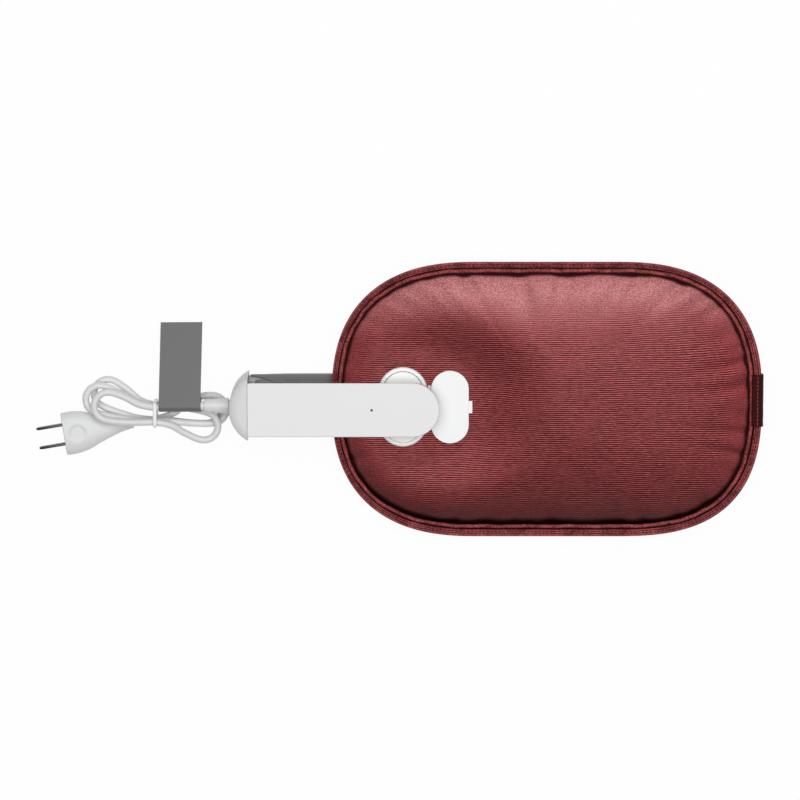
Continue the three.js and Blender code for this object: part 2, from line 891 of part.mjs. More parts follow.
add(
  jaw,
  'arm_bottom_shell',
  cut(
    join(
      cut(
        raised(armPlan(arm_back, arm_tip, arm_width), arm_bottom, arm_split),
        bottom_cavity,
        sideways(nose_cut, -arm_width, arm_width),
        backWedge(),
      ),
      neck,
      knuckle(-knuckle_outer, knuckle_outer),
      ...shell_bosses,
    ),
    coil_room,
    crossRod(hinge_pin_diameter / 2 + gap, pivot_x, pivot_z, -arm_width, arm_width, plain_sides),
    ...connector_holes,
    ...shell_screw_holes,
    ...shell_screw_sinks,
  ),
  white_plastic,
);

// Screws that close the upper arm, from below
arm_screws.forEach(([x, y], i) => {
  const head_base = arm_bottom + gap / 2;
  const head = rod(screw_head_radius, head_base, head_base + screw_head_height, small_sides);
  const shank = rod(screw_radius, arm_bottom + gap, arm_split, small_sides);
  add(jaw, `arm_screw_${i + 1}`, place(join(head, shank), x, y, 0), bright_steel);
});

// Connector: a wide head that fills the port's recess and a block that reaches down into its cup
const head_clearance = 0.5;
const plug_clearance = 1;
const plug_depth = cup_depth - recess_depth - 1.5 * gap;
const sleeve_clearance = 0.9;
const sleeve_wall = 1;
const sleeve_bore = pin_diameter / 2 + sleeve_clearance;
const sleeve_radius = sleeve_bore + sleeve_wall;
const sleeve_top = head_bottom + head_height / 2;
const connector_bottom = head_bottom - plug_depth;
const connector_parts = [];
[1, -1].forEach((side) => {
  const sleeve_room = rod(sleeve_radius + gap, connector_bottom - overrun, sleeve_top + gap, round_sides);
  connector_parts.push(
    place(sleeve_room, 0, (side * pin_spacing) / 2, 0),
    place(
      rod(screw_radius + gap, head_bottom - gap, arm_bottom + overrun, small_sides),
      connector_screw_x,
      side * connector_screw_y,
      0,
    ),
  );
});
const connector = new THREE.Group();
connector.position.set(port_reach, 0, 0);
jaw.add(connector);
add(
  connector,
  'connector_body',
  cut(
    join(
      raised(
        stadium(recess_width - 2 * head_clearance, recess_length - 2 * head_clearance),
        head_bottom,
        head_bottom + head_height,
        small_sides,
      ),
      raised(
        stadium(cup_width - 2 * plug_clearance, cup_length - 2 * plug_clearance),
        connector_bottom,
        head_bottom + overrun,
      ),
    ),
    ...connector_parts,
  ),
  bright_plastic,
);
[1, -1].forEach((side, i) => {
  const sleeve = cut(
    rod(sleeve_radius, connector_bottom + gap, sleeve_top, round_sides),
    rod(sleeve_bore, connector_bottom - overrun, sleeve_top - sleeve_wall, round_sides),
  );
  add(connector, `contact_sleeve_${i + 1}`, place(sleeve, 0, (side * pin_spacing) / 2, 0), brass);
  const head_base = arm_bottom + arm_wall + gap;
  const screw = join(
    rod(screw_head_radius, head_base, head_base + screw_head_height, small_sides),
    rod(screw_radius, head_bottom, head_base + overrun, small_sides),
  );
  place(screw, connector_screw_x, side * connector_screw_y, 0);
  add(connector, `connector_screw_${i + 1}`, screw, bright_steel);
});

// Circuit board, indicator and the two wires in the upper arm
const board_bottom = arm_bottom + arm_wall + 2 * gap;
add(
  jaw,
  'circuit_board',
  block(
    board_start,
    board_start + board_length,
    -board_width / 2,
    board_width / 2,
    board_bottom,
    board_bottom + board_thickness,
  ),
  board_green,
);
const led_height = 3.2;
const led_base = board_bottom + board_thickness + gap;
const led = rod(2 * light_pipe_radius, led_base, led_base + led_height, small_sides);
add(jaw, 'indicator_led', place(led, led_x, 0, 0), amber);
add(
  jaw,
  'light_pipe',
  place(rod(light_pipe_radius, led_base + led_height + gap, arm_top - gap, small_sides), led_x, 0, 0),
  dark_nickel,
);
const wire_diameter = 1.8;
const wire_share = 0.5;
const wire_sides = 6;
const wire_steps = 24;
const wire_y = board_width / 2 + wire_diameter;
const wire_level = board_bottom + wire_diameter;
const wire_end = port_reach - screw_head_radius - wire_diameter;
[1, -1].forEach((side, i) => {
  const wire = [
    [2 * arm_wall, side * wire_diameter],
    [boss_x, side * wire_y * wire_share],
    [board_start - wire_diameter, side * wire_y],
    [(board_start + wire_end) / 2, side * wire_y],
    [board_start + board_length, side * wire_y],
    [wire_end, side * (pin_spacing / 2)],
  ].map(([x, y]) => new THREE.Vector3(x, y, wire_level));
  const material = i ? blue_sleeve : copper_red;
  add(jaw, `arm_wire_${i + 1}`, tube(wire, wire_diameter / 2, wire_sides, wire_steps), material);
});

// Lower arm: a body with a web that rises to the cap, a bottom cover and a rubber pad
const lower_tip = port_reach + lower_nose;
const lower_back = arm_back;
const cover_bottom_z = lower_clearance;
const cover_top_z = cover_bottom_z + lower_cover_height;
const lower_bottom = cover_top_z + gap;
const lower_top = lower_bottom + lower_body_height;
const web_top = arm_bottom - 2 * gap;
const web_thick = 4;
const web_foot = lower_back + web_reach - 2 * gap;
const ear_radius = pivot_back + gap / 3;
const ear_inner = knuckle_outer + 2 * gap;
const ear_outer = ear_inner + 3;
const tongue_back = 7.5;
const tongue_half = 9.5;
const web_side = new THREE.Shape();
web_side.moveTo(lower_back, lower_bottom + gap);
web_side.lineTo(web_foot, lower_bottom + gap);
web_side.lineTo(web_foot, lower_top);
web_side.quadraticCurveTo(lower_back + web_thick, lower_top, lower_back + web_thick, web_top);
web_side.lineTo(lower_back, web_top);

// Plan of the web, a half ellipse, with a margin round it
function webPlan(margin) {
  const half = web_width / 2 + margin;
  const shape = new THREE.Shape();
  shape.moveTo(lower_back - overrun, -half);
  shape.absellipse(lower_back, 0, web_reach + margin, half, -Math.PI / 2, Math.PI / 2);
  shape.lineTo(lower_back - overrun, half);
  return shape;
}
const ear = new THREE.Shape();
ear.moveTo(lower_back + web_thick / 2, lower_top);
ear.lineTo(lower_back + web_thick / 2, web_top - overrun);
ear.lineTo(0, web_top);
ear.lineTo(pivot_x + ear_radius, pivot_z);
ear.absarc(pivot_x, pivot_z, ear_radius, 0, Math.PI);
ear.lineTo(pivot_x - ear_radius, lower_top);
const switch_half = 5;
const switch_back = pivot_x - ear_radius;
const switch_front = lower_back + web_thick - 2 * gap - overrun;
const switch_height = 10;
const switch_top = web_top - gap;
const plunger_x = pivot_x + pivot_rise + gap / 3;
const plunger_radius = 1;
const plunger_top = arm_bottom - gap;
const plunger_length = 4;
const tongue_holes = [1, -1].map((side) => {
  return place(
    rod(screw_radius + gap, lower_bottom - overrun, lower_top - overrun, small_sides),
    -tongue_back / 2,
    (side * tongue_half) / 2,
    0,
  );
});
const lower_screws = [
  [web_foot, 0],
  [lower_tip - lower_width / 2, 0],
];
const lower_screw_holes = lower_screws.map(([x, y]) => {
  const hole = rod(screw_radius + gap, cover_bottom_z - overrun, lower_top - overrun, small_sides);
  return place(hole, x, y, 0);
});
const lower_screw_sinks = lower_screws.map(([x, y]) => {
  const sink_top = cover_bottom_z + screw_head_height + gap;
  return place(rod(screw_head_radius + gap, cover_bottom_z - overrun, sink_top, small_sides), x, y, 0);
});
add(
  clip,
  'lower_arm_body',
  cut(
    join(
      raised(armPlan(lower_back, lower_tip, lower_width), lower_bottom, lower_top),
      common(
        sideways(web_side, -lower_width / 2, lower_width / 2),
        raised(webPlan(0), lower_bottom, web_top + overrun),
      ),
      sideways(ear, ear_inner, ear_outer),
      sideways(ear, -ear_outer, -ear_inner),
      block(-tongue_back, lower_back + overrun, -tongue_half, tongue_half, lower_bottom, lower_top),
    ),
    crossRod(hinge_pin_diameter / 2 + gap, pivot_x, pivot_z, -arm_width, arm_width, plain_sides),
    block(
      switch_back - overrun,
      switch_front + gap,
      -switch_half - gap,
      switch_half + gap,
      switch_top - switch_height - gap,
      web_top + overrun,
    ),
    ...tongue_holes,
    ...lower_screw_holes,
  ),
  grey_plastic,
);
add(
  clip,
  'lower_arm_cover',
  cut(
    raised(armPlan(lower_back, lower_tip, lower_width), cover_bottom_z, cover_top_z),
    ...lower_screw_holes,
    ...lower_screw_sinks,
  ),
  white_plastic,
);
lower_screws.forEach(([x, y], i) => {
  const head_top = cover_bottom_z + screw_head_height;
  const head = rod(screw_head_radius, cover_bottom_z + gap / 2, head_top, small_sides);
  const shank = rod(screw_radius, cover_bottom_z + gap, lower_top - 2 * overrun, small_sides);
  add(clip, `lower_screw_${i + 1}`, place(join(head, shank), x, y, 0), bright_steel);
});

// Grip pad: ribbed rubber on the lower arm, under the bag, that ends round the web's foot
const pad_start = lower_back + 2 * gap;
const pad_tip = lower_tip + (pad_width - lower_width) / 2;
const pad_base = lower_top + gap;
const pad_rib_depth = 0.6;
const pad_grooves = 12;
const pad_groove_step = (pad_tip - pad_start) / (pad_grooves + 1);
const grooves = [];
for (let i = 1; i <= pad_grooves; i++) {
  const x = pad_start + i * pad_groove_step;
  grooves.push(
    block(
      x - pad_rib_depth,
      x + pad_rib_depth,
      -pad_width,
      pad_width,
      pad_base + pad_height - pad_rib_depth,
      pad_base + pad_height + overrun,
    ),
  );
}
add(
  clip,
  'grip_pad',
  cut(
    raised(armPlan(pad_start, pad_tip, pad_width), pad_base, pad_base + pad_height),
    raised(webPlan(gap), lower_bottom, pad_base + pad_height + overrun),
    ...grooves,
  ),
  grey_rubber,
);

// Hinge pin and the spring that holds the jaw shut
const pin_half = ear_outer + gap;
add(
  clip,
  'hinge_pin',
  crossRod(hinge_pin_diameter / 2, pivot_x, pivot_z, -pin_half, pin_half, plain_sides),
  bright_steel,
);
const spring_wire = 0.9;
const spring_radius = 2.7;
const spring_turns = 4;
const spring_steps = 8;
const spring_pitch = 1.4;
const spring_leg = 4.4;
const spring_points = [];
const spring_half = (spring_turns * spring_pitch) / 2;
spring_points.push(
  new THREE.Vector3(pivot_x - spring_radius, -spring_half, pivot_z - spring_leg),
);
for (let i = 0; i <= spring_turns * spring_steps; i++) {
  const turn = Math.PI + (2 * Math.PI * i) / spring_steps;
  const x = pivot_x + spring_radius * Math.cos(turn);
  const z = pivot_z - spring_radius * Math.sin(turn);
  const y = (i * spring_pitch) / spring_steps - spring_half;
  spring_points.push(new THREE.Vector3(x, y, z));
}
spring_points.push(
  new THREE.Vector3(pivot_x - spring_radius, spring_half, pivot_z - spring_leg),
);
add(
  clip,
  'jaw_spring',
  tube(spring_points, spring_wire / 2, 5, spring_turns * spring_steps + 6),
  bright_steel,
);

// Safety switch: its plunger follows the upper arm up as the swelling bag opens the jaw
const switch_bore = plunger_radius + gap;
const switch_well = rod(switch_bore, plunger_top - plunger_length - gap, switch_top + overrun, small_sides);
add(
  clip,
  'safety_switch',
  cut(
    block(switch_back, switch_front, -switch_half, switch_half, switch_top - switch_height, switch_top),
    place(switch_well, plunger_x, 0, 0),
  ),
  amber,
);
add(
  clip,
  'switch_plunger',
  place(rod(plunger_radius, plunger_top - plunger_length, plunger_top, small_sides), plunger_x, 0, 0),
  copper_red,
);

// End cap: a D-shaped hollow shell that closes the hinge and carries the gland
function capPlan(inset) {
  const outer = (cap_width ** 2 / 4 + cap_reach ** 2) / (2 * cap_reach);
  const middle = outer - cap_reach;
  const radius = outer - inset;
  const half = Math.sqrt(radius ** 2 - middle ** 2);
  const spread = Math.asin(half / radius);
  const shape = new THREE.Shape();
  const mouth = inset ? overrun : 0;
  shape.moveTo(mouth, half);
  shape.absarc(middle, 0, radius, Math.PI - spread, Math.PI + spread);
  shape.lineTo(mouth, -half);
  return shape;
}
const gland_bore = 4.3;
const cap_screw_heads = [1, -1].map((side) => {
  const sink_top = cap_clearance + cap_wall + overrun;
  const sink = rod(screw_radius + gap, cap_clearance - overrun, sink_top, small_sides);
  return place(sink, -tongue_back / 2, (side * tongue_half) / 2, 0);
});
const gland_hole = new THREE.CylinderGeometry(gland_bore, gland_bore, cap_reach, round_sides);
gland_hole.rotateZ(Math.PI / 2);
add(
  clip,
  'end_cap',
  cut(
    raised(capPlan(0), cap_clearance, cap_top, plain_sides),
    raised(capPlan(cap_wall), cap_clearance + cap_wall, cap_top - cap_wall, plain_sides),
    place(gland_hole, -cap_reach, 0, gland_height),
    ...cap_screw_heads,
  ),
  white_plastic,
);
[1, -1].forEach((side, i) => {
  const head_top = cap_clearance - gap / 2;
  const screw = join(
    rod(screw_head_radius, head_top - gap, head_top, small_sides),
    rod(screw_radius, head_top - gap, lower_top - 2 * overrun, small_sides),
  );
  place(screw, -tongue_back / 2, (side * tongue_half) / 2, 0);
  add(clip, `cap_screw_${i + 1}`, screw, bright_steel);
});

// Gland: a tapered strain relief, clipped into the cap's round wall
const gland_root = 5.1;
const gland_tip = 3.5;
const gland_collar = 3;
const gland_flange = 6.4;
const gland_flange_back = 3;
const flange_thick = 1.4;
const gland_groove = gland_bore - gap;
const gland_outer = -cap_reach - 2 * gap;
const gland_inner = gland_flange_back - cap_reach;
const gland_end = gland_outer - gland_length - collar_length;
const gland_profile = [
  [0, gland_inner + flange_thick],
  [gland_flange, gland_inner + flange_thick],
  [gland_flange, gland_inner],
  [gland_groove, gland_inner],
  [gland_groove, gland_outer],
  [gland_root, gland_outer],
  [gland_tip, gland_outer - gland_length],
  [gland_collar, gland_outer - gland_length],
  [gland_collar, gland_end],
  [0, gland_end],
].map(([radius, x]) => new THREE.Vector2(radius, x));
const gland = new THREE.LatheGeometry(gland_profile.reverse(), round_sides).rotateZ(-Math.PI / 2);
add(clip, 'cord_gland', place(gland, 0, 0, gland_height), cord_jacket);

// Lead: from the gland to the tied hank, and from the hank to the plug
const cord_radius = cord_diameter / 2;
const tie_x = clip_x + gland_end - tie_from_gland;
const tie_y = port_y + tie_aside;
const floor_level = cord_radius + gap / 3;
const waist_rise = 0.9;
const levels = hank_turns + 1;
const lead_rise = 1.2;
const levelHeight = (level) => floor_level + (level - 1) * level_step;
const lead_height = levelHeight(levels) + waist_rise + lead_rise;

// The middle of each loop's fold, from the tie, as shares of the hank's reach:
// one loop to the left and one to the right for each turn, from the top turn down
const hank_reach = 46;
const left_shares = [
  [-0.66, 0.117],
  [-0.785, 0.2],
  [-0.675, 0.27],
];
const right_shares = [
  [0.685, -0.183],
  [0.8, 0.043],
  [0.72, 0.026],
];
const run_steps = 3;
const fold_steps = 6;
const run_pull = 0.42;

// One loop, counterclockwise: a run out from the waist, a round fold, and a run back
function addLoop(route, from, middle, to, level) {
  const turn = Math.atan2(middle[1], middle[0]);
  const outward = new THREE.Vector3(Math.cos(turn), Math.sin(turn), 0);
  const side = new THREE.Vector3(Math.sign(middle[0]), 0, 0);
  const centre = new THREE.Vector3(middle[0] * hank_reach, middle[1] * hank_reach, levelHeight(level));
  const onFold = (angle) => {
    const x = centre.x + fold_radius * Math.cos(angle);
    const y = centre.y + fold_radius * Math.sin(angle);
    return new THREE.Vector3(x, y, centre.z);
  };
  const first = onFold(turn - Math.PI / 2);
  const last = onFold(turn + Math.PI / 2);
  const pull = run_pull * hank_reach * Math.abs(middle[0]);
  const out = new THREE.CubicBezierCurve3(
    from,
    from.clone().addScaledVector(side, pull),
    first.clone().addScaledVector(outward, -pull),
    first,
  );
  const back = new THREE.CubicBezierCurve3(
    last,
    last.clone().addScaledVector(outward, -pull),
    to.clone().addScaledVector(side, pull),
    to,
  );
  for (let i = 1; i <= run_steps; i++) route.push(out.getPoint(i / run_steps));
  for (let i = 1; i < fold_steps; i++) {
    route.push(onFold(turn - Math.PI / 2 + (Math.PI * i) / fold_steps));
  }
  for (let i = 0; i <= run_steps; i++) route.push(back.getPoint(i / run_steps));
}

const upperWaist = (height) => new THREE.Vector3(0, waist, height);
const lowerWaist = (height) => new THREE.Vector3(0, -waist, height);
const plug_heading = THREE.MathUtils.degToRad(188.9);
const plug_pitch = THREE.MathUtils.degToRad(6.5);
const neck_from_tie = new THREE.Vector3(-14.8, -7.2, 3.8);
const plug_direction = new THREE.Vector3(
  Math.cos(plug_heading) * Math.cos(plug_pitch),
  Math.sin(plug_heading) * Math.cos(plug_pitch),
  Math.sin(plug_pitch),
);
const straight = cord_diameter;
const lead_start = new THREE.Vector3(straight - 2 * gap, waist, lead_height);
const hank_route = [lead_start];
let waist_point = upperWaist(lead_height);
waist_point.x = -2 * gap;
hank_route.push(waist_point);
for (let turn = 0; turn < hank_turns; turn++) {
  const level = levels - turn;
  const low = lowerWaist(levelHeight(level) + waist_rise);
  addLoop(hank_route, waist_point, left_shares[turn], low, level);
  const onward = levelHeight(level - 1) + waist_rise;
  const last_turn = turn === hank_turns - 1;
  waist_point = last_turn ? lowerWaist(onward) : upperWaist(onward);
  addLoop(hank_route, low, right_shares[turn], waist_point, level - 1);
}
const hank_end = neck_from_tie.clone();
hank_route.push(hank_end.clone().addScaledVector(plug_direction, -straight));
hank_route.push(hank_end);

// The least gap between two stretches of the hank, measured along its middle line
const measured_points = 1200;
const near_diameters = 3;
const hank_line = new THREE.CatmullRomCurve3(hank_route, false, 'centripetal').getSpacedPoints(measured_points);
const hank_length = hank_line.slice(1).reduce((sum, p, i) => sum + p.distanceTo(hank_line[i]), 0);
const apart = Math.ceil((near_diameters * cord_diameter * hank_line.length) / hank_length);
let least = Infinity;
for (let i = 0; i < hank_line.length; i++) {
  for (let k = i + apart; k < hank_line.length; k++) {
    least = Math.min(least, hank_line[i].distanceTo(hank_line[k]));
  }
}
console.log('hank: least gap to itself', (least - cord_diameter).toFixed(2), 'mm');
console.log('hank: length', hank_length.toFixed(0), 'mm');

const hank = new THREE.Group();
hank.position.set(tie_x, tie_y, 0);
object.add(hank);
const hank_sides = 6;
const turn_steps = 24;
const end_steps = 4;
const hank_steps = hank_turns * turn_steps + end_steps;
add(hank, 'cord_hank', tube(hank_route, cord_radius, hank_sides, hank_steps), cord_jacket);

const tie_from_clip = new THREE.Vector3(clip_x + gland_end - gap - tie_x, port_y - tie_y, gland_height);
const lead_route = [
  lead_start.clone().add(new THREE.Vector3(gap, 0, 0)),
  lead_start.clone().add(new THREE.Vector3(gap + straight, 0, 0)),
  tie_from_clip.clone().sub(new THREE.Vector3(straight, 0, 0)),
  tie_from_clip,
];
const lead_steps = 6;
const lead_line = new THREE.CatmullRomCurve3(lead_route, false, 'centripetal');
console.log('lead: length', lead_line.getLength().toFixed(0), 'mm');
add(hank, 'cord_lead', tube(lead_route, cord_radius, thin_sides, lead_steps), cord_jacket);

// Tie: a plain strap round the hank's waist
const tie_width = 2.2;
const tie_thickness = 0.6;
const tie_corner_steps = 3;
function tieOutline(inset) {
  const half = waist + cord_radius + gap + tie_thickness - inset;
  const low = floor_level + waist_rise - cord_radius - gap - tie_thickness + inset;
  const high = lead_height + cord_radius + gap + tie_thickness - inset;
  const corner = cord_radius - inset;
  const shape = new THREE.Shape();
  shape.moveTo(corner - half, low);
  shape.lineTo(half - corner, low);
  shape.absarc(half - corner, low + corner, corner, -Math.PI / 2, 0);
  shape.lineTo(half, high - corner);
  shape.absarc(half - corner, high - corner, corner, 0, Math.PI / 2);
  shape.lineTo(corner - half, high);
  shape.absarc(corner - half, high - corner, corner, Math.PI / 2, Math.PI);
  shape.lineTo(-half, low + corner);
  shape.absarc(corner - half, low + corner, corner, Math.PI, 1.5 * Math.PI);
  return shape;
}
const tie_shape = tieOutline(0);
tie_shape.holes.push(tieOutline(tie_thickness));
add(hank, 'cord_tie', lengthways(tie_shape, -tie_width / 2, tie_width / 2, tie_corner_steps), bright_plastic);

// Label: a film flag whose one edge is wrapped round the lead
const label_length = 25;
const flag_length = 27;
const label_height = 55;
const label_thickness = 0.6;
const label_wrap = cord_radius + 2 * gap;
const label_droop = THREE.MathUtils.degToRad(-16);
const label_ring = disc(label_wrap + label_thickness);
label_ring.holes.push(disc(label_wrap));
const lead_middle = lead_route[0].clone().add(tie_from_clip).divideScalar(2);
const lead_run = tie_from_clip.clone().sub(lead_route[0]).normalize();
const label = new THREE.Group();
label.position.copy(lead_middle);
label.quaternion.setFromUnitVectors(new THREE.Vector3(1, 0, 0), lead_run);
hank.add(label);
const flag = block(
  -flag_length / 2,
  flag_length / 2,
  label_wrap + label_thickness / 2,
  label_height,
  -label_thickness / 2,
  label_thickness / 2,
);
const label_mesh = add(
  label,
  'cord_label',
  join(lengthways(label_ring, -label_length / 2, label_length / 2, small_sides), flag),
  label_film,
);
label_mesh.rotation.x = label_droop;

// Plug: a flat moulded body that narrows to the neck, with a thumb hollow on each side
const plug = new THREE.Group();
plug.position.copy(neck_from_tie).addScaledVector(plug_direction, gap);
plug.rotation.order = 'ZYX';
plug.rotation.z = plug_heading;
plug.rotation.y = -plug_pitch;
hank.add(plug);

// Stations along the body from the neck: how far along, how wide and how thick, as shares
const plug_shares = [
  [0, 0, 0],
  [0.17, 0.12, 0.1],
  [0.35, 0.34, 0.38],
  [0.52, 0.6, 0.72],
  [0.68, 0.86, 0.96],
  [0.82, 0.98, 1],
  [0.94, 1, 0.96],
  [1, 0.97, 0.9],
];
const plug_power = 2.6;
const plug_sides = 20;
function plugRing([along, wide, thick]) {
  const half_width = (plug_neck + (plug_width - plug_neck) * wide) / 2;
  const half_height = (plug_neck + (plug_height - plug_neck) * thick) / 2;
  const power = 2 / (2 + (plug_power - 2) * wide);
  const ring = [];
  for (let i = 0; i < plug_sides; i++) {
    const turn = (2 * Math.PI * i) / plug_sides;
    const y = Math.sign(Math.cos(turn)) * half_width * Math.abs(Math.cos(turn)) ** power;
    const z = Math.sign(Math.sin(turn)) * half_height * Math.abs(Math.sin(turn)) ** power;
    ring.push(new THREE.Vector3(along * plug_length, y, z));
  }
  return ring;
}
const plug_body = loft([
  [new THREE.Vector3(0, 0, 0)],
  ...plug_shares.map(plugRing),
  [new THREE.Vector3(plug_length, 0, 0)],
]);
const thumb_diameter = 12;
const thumb_depth = 0.8;
const thumb_steps = 28;
const thumb_share = 0.76;
const thumb_sphere = (thumb_diameter ** 2 / 4 + thumb_depth ** 2) / (2 * thumb_depth);
const thumbs = [1, -1].map((side) => {
  const ball = new THREE.SphereGeometry(thumb_sphere, thumb_steps, thumb_steps).rotateX(Math.PI / 2);
  return place(ball, plug_length * thumb_share, 0, side * (plug_height / 2 + thumb_sphere - thumb_depth));
});
const blade_root = 4;
const blade_slots = [1, -1].map((side) => {
  const middle = (side * blade_spacing) / 2;
  return block(
    plug_length - blade_root - gap,
    plug_length + overrun,
    middle - blade_thickness / 2 - gap,
    middle + blade_thickness / 2 + gap,
    -blade_width / 2 - gap,
    blade_width / 2 + gap,
  );
});
add(plug, 'plug_body', cut(plug_body, ...thumbs, ...blade_slots), cord_jacket);

const blade_tip = 2;
const blade = new THREE.Shape();
blade.moveTo(plug_length - blade_root, -blade_width / 2);
blade.lineTo(plug_length + blade_length - blade_tip, -blade_width / 2);
blade.lineTo(plug_length + blade_length, blade_tip - blade_width / 2);
blade.lineTo(plug_length + blade_length, blade_width / 2 - blade_tip);
blade.lineTo(plug_length + blade_length - blade_tip, blade_width / 2);
blade.lineTo(plug_length - blade_root, blade_width / 2);
[1, -1].forEach((side, i) => {
  const middle = (side * blade_spacing) / 2;
  const pin = sideways(blade, middle - blade_thickness / 2, middle + blade_thickness / 2);
  add(plug, `plug_pin_${i + 1}`, pin, dark_nickel);
});

export default object;
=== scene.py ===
# Electric hot water bottle: the finish of the bag, its port and lid, the charging clip and the lead.
# Metres, +Z up, the origin under the middle of the bag.
import json
import math
import random

import bmesh
import bpy
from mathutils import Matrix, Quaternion, Vector


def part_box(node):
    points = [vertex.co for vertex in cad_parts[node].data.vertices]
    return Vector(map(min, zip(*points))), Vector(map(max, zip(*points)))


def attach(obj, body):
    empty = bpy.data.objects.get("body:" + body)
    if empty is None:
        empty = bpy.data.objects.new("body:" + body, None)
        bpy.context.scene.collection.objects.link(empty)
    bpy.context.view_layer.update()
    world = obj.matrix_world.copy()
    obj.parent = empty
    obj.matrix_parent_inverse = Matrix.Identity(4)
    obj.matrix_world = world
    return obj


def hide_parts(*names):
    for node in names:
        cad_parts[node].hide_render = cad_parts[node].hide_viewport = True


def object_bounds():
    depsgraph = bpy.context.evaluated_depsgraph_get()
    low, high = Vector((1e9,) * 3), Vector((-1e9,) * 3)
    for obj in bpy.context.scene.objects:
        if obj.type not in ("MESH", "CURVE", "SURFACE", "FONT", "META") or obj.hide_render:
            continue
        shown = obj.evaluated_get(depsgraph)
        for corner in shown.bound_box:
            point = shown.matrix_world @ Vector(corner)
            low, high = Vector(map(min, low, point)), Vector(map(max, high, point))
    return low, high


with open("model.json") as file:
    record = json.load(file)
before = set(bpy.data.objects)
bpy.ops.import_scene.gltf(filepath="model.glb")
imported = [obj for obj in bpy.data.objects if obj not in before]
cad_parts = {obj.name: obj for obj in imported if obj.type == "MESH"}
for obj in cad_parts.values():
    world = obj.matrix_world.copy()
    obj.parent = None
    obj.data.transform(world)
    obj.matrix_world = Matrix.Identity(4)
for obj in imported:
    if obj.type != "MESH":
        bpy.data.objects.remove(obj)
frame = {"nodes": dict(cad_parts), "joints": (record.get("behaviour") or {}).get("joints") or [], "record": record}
cad_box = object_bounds()
mm = 0.001
base = "bag_and_clip_base"

# Camera: almost straight above the bag, tipped a little towards its label side, with a long lens
photo_width = 520 * mm
camera_distance = 3.0
camera_tip = math.radians(8)
aim = Vector((-95.5 * mm, -2.65 * mm, 0))
aim_level = 20 * mm
camera_data = bpy.data.cameras.new("camera")
camera_data.sensor_width = 36
camera_data.lens = camera_data.sensor_width * (camera_distance - aim_level) / photo_width
camera_data.clip_end = 20
camera = bpy.data.objects.new("camera", camera_data)
camera.location = aim + camera_distance * Vector((0, math.sin(camera_tip), math.cos(camera_tip)))
camera.rotation_euler = (-camera_tip, 0, 0)
bpy.context.scene.collection.objects.link(camera)
bpy.context.scene.camera = camera


# Lead: one round cable in a soft white sheath. It runs from the gland, is folded three times into a tied
# hank and goes on to the plug. It leaves the tie level with the top loops and drops a layer at each turn.
cord_diameter = 4.6
fold_radius = 9.2
waist = 5
level_step = 5.2
waist_rise = 0.9
lead_rise = 1.2
floor_level = cord_diameter / 2 + 0.1
levels = 4
hank_reach = 46
run_pull = 0.42
left_shares = [(-0.66, 0.117), (-0.785, 0.2), (-0.675, 0.27)]
right_shares = [(0.685, -0.183), (0.8, 0.043), (0.72, 0.026)]


def box_mm(box):
    """A box's lowest corner, highest corner and middle, in millimetres."""
    low, high = ([v / mm for v in corner] for corner in box)
    return low, high, [(a + b) / 2 for a, b in zip(low, high)]


gland_low, gland_high, gland_middle = box_mm(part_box("cord_gland"))
tie_low, tie_high, tie_middle = box_mm(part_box("cord_tie"))
tie_place = Vector((tie_middle[0], tie_middle[1], 0))


def level_height(level):
    return floor_level + (level - 1) * level_step


def bezier(a, b, c, d, t):
    s = 1 - t
    return a * s**3 + b * 3 * s * s * t + c * 3 * s * t * t + d * t**3


def add_loop(route, start, middle, end, level):
    turn = math.atan2(middle[1], middle[0])
    outward = Vector((math.cos(turn), math.sin(turn), 0))
    side = Vector((math.copysign(1, middle[0]), 0, 0))
    centre = Vector((middle[0] * hank_reach, middle[1] * hank_reach, level_height(level)))

    def on_fold(angle):
        return centre + fold_radius * Vector((math.cos(angle), math.sin(angle), 0))

    first = on_fold(turn - math.pi / 2)
    last = on_fold(turn + math.pi / 2)
    pull = run_pull * hank_reach * abs(middle[0])
    for i in range(1, 4):
        route.append(bezier(start, start + side * pull, first - outward * pull, first, i / 3))
    for i in range(1, 6):
        route.append(on_fold(turn - math.pi / 2 + math.pi * i / 6))
    for i in range(4):
        route.append(bezier(last, last - outward * pull, end + side * pull, end, i / 3))


def smooth_line(points, steps):
    """A centripetal curve through the points, as many short straight steps."""
    line = []
    ends = [points[0] * 2 - points[1], *points, points[-1] * 2 - points[-2]]
    for i in range(1, len(ends) - 2):
        before, a, b, after = ends[i - 1 : i + 3]
        t0, t1, t2 = (math.sqrt((q - p).length) for p, q in ((before, a), (a, b), (b, after)))
        out = ((a - before) / t0 - (b - before) / (t0 + t1) + (b - a) / t1) * t1
        into = ((b - a) / t1 - (after - a) / (t1 + t2) + (after - b) / t2) * t1
        for k in range(steps):
            t = k / steps
            curve = (2 * (a - b) + out + into) * t**3 + (3 * (b - a) - 2 * out - into) * t**2
            line.append(curve + out * t + a)
    line.append(points[-1])
    return line


